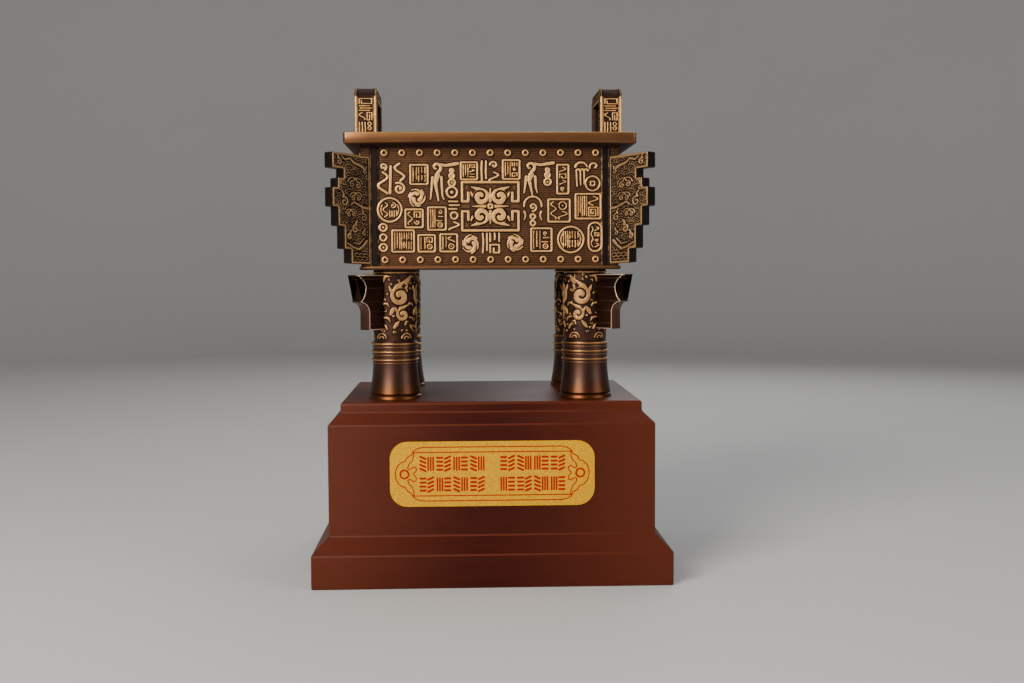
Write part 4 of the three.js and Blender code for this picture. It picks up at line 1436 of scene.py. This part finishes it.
# The print's two outlines, from the middle of the top to the end: (across, up).
PRINT_BORDERS = [
    [(0, 21.5), (55, 21.5), (60, 20.4), (63.2, 18), (64.2, 15.5), (67.5, 13.6), (69.4, 10.4),
     (72.8, 9.3), (75.6, 6.2), (76.8, 3), (77.2, 0)],
    [(0, 17.4), (62.4, 17.4), (62.6, 14.5), (63.6, 10.8), (66.4, 8), (67.4, 4.8), (66.2, 3.9),
     (64.2, 4.6), (62.8, 5.9), (61, 5.4), (60.4, 3.4), (61.4, 1.6), (62.6, 0.6), (62.8, 0)],
]


def print_border(relief):
    """Two thin outlines with cusped, cloud-like ends, and a small ring in each end."""
    for side in SIDES:
        relief.ring((side * 70, 0), 3.3, 1.5)
        for outline in PRINT_BORDERS:
            for half in SIDES:
                relief.line(np.array(outline) * [side, half], 0.9)


def name_plate():
    """A thin plate with rounded ends; the print is colour alone."""
    centre_z = (plate_low[2] + plate_high[2]) / 2
    half_w, half_h, step = plate_high[0], (plate_high[2] - plate_low[2]) / 2, 0.36
    up = half_h * np.sin(np.linspace(-math.pi / 2, math.pi / 2, 9))
    up = np.unique(np.concatenate([np.linspace(-half_h, half_h, round(2 * half_h / step) + 1), up]))[:, None]
    over = np.clip(np.abs(up) - (half_h - PLATE_CORNER), 0, PLATE_CORNER)
    reach = half_w - PLATE_CORNER + np.sqrt(PLATE_CORNER**2 - over**2)
    across = np.linspace(-1, 1, round(2 * half_w / step) + 1)[None, :] * reach
    relief = Relief(across, up)
    print_border(relief)
    for row, group in CORNERS:
        for i in range(MARKS):
            centre = (group * (MARK_START + i * MARK_PITCH), row * MARK_ROW)
            stroke_mark(relief, centre, MARK_SIZE, i + (row > 0) + 2 * (group > 0))

    def placed(y):
        return np.stack(np.broadcast_arrays(across, y, up + centre_z), -1)

    points, faces, picked = closed_sheet(placed(plate_low[1]), placed(plate_high[1]))
    casting = Casting()
    casting.add(points, faces, relief.edge.ravel()[picked])
    casting.make("name_plate_printed", [gilt_print()], 35, "name_plate")


# ---- Stage, light and camera ----


# Metres: where the lamps point, and the floor's flat radius, sweep and height.
AIM = (0, 0, 0.22)
FLOOR_RADIUS, SWEEP, FLOOR_TOP = 2.6, 1.2, 3.2


def link(made):
    bpy.context.scene.collection.objects.link(made)
    return made


def stage():
    """A plain pale floor that curves up far away all round."""
    finish = Finish("pale_floor")
    colour = finish.mix(finish.noise(1.5, 2), (0.60, 0.595, 0.585), (0.63, 0.625, 0.615))
    material = finish.done(Base_Color=colour, Roughness=0.75)
    turns = np.linspace(0, 2 * math.pi, 97)[:-1]
    rise = np.linspace(0.1, math.pi / 2, 10)
    curved = np.column_stack([FLOOR_RADIUS + SWEEP * np.sin(rise), SWEEP - SWEEP * np.cos(rise)])
    profile = [(0.05, 0), (FLOOR_RADIUS, 0), *curved, (FLOOR_RADIUS + SWEEP, FLOOR_TOP)]
    loops = [[(r * math.cos(a), r * math.sin(a), h) for a in turns] for r, h in profile]
    points, faces = loft(loops, True, False)
    mesh = bpy.data.meshes.new("floor")
    mesh.from_pydata(points.tolist(), [], [tuple(face) for group in faces for face in np.atleast_2d(group)])
    mesh.materials.append(material)
    mesh.polygons.foreach_set("use_smooth", np.ones(len(mesh.polygons), bool))
    link(bpy.data.objects.new("floor", mesh))


def lamp(name, where, size, power, colour=(1, 1, 1)):
    """A soft light, aimed at the middle of the object."""
    data = bpy.data.lights.new(name, "AREA")
    data.shape, data.size, data.size_y = "RECTANGLE", *size
    data.energy, data.color = power, colour
    made = link(bpy.data.objects.new(name, data))
    made.location = where
    made.rotation_euler = (Vector(AIM) - Vector(where)).to_track_quat("-Z", "Y").to_euler()


def lights():
    lamp("key", (-1.0, -1.45, 0.95), (0.9, 0.9), 44, (1, 0.95, 0.88))
    lamp("fill", (1.5, -1.1, 0.7), (1.0, 1.0), 9, (0.95, 0.97, 1))
    lamp("top", (0.1, 0.2, 1.7), (1.1, 1.1), 5)
    lamp("back", (0.6, 1.6, 1.1), (1.2, 0.8), 7)
    world = bpy.data.worlds.new("soft_room")
    world.use_nodes = True
    background = world.node_tree.nodes["Background"]
    background.inputs["Color"].default_value = (0.86, 0.88, 0.92, 1)
    background.inputs["Strength"].default_value = 0.22
    bpy.context.scene.world = world


def camera():
    """An eye just above the vessel's underside, 1.1 m in front, looking a little down and to the right."""
    data = bpy.data.cameras.new("camera")
    data.sensor_width, data.lens = 36, 44.44
    data.clip_start, data.clip_end = 0.01, 50
    made = link(bpy.data.objects.new("camera", data))
    made.location = (-0.024, -1.1, 0.255)
    down, right, roll = 3.4745, 2.2907, -0.2327
    aim = Euler((math.radians(90 - down), 0, math.radians(-right))).to_matrix()
    made.rotation_euler = (aim @ Matrix.Rotation(math.radians(roll), 3, "Z")).to_euler()
    bpy.context.scene.camera = made


vessel_body()
front_wall()
plain_walls()
corner_flanges()
ears()
leg_columns()
leg_wings()
studs()
feet()
plinth()
name_plate()
stage()
lights()
camera()
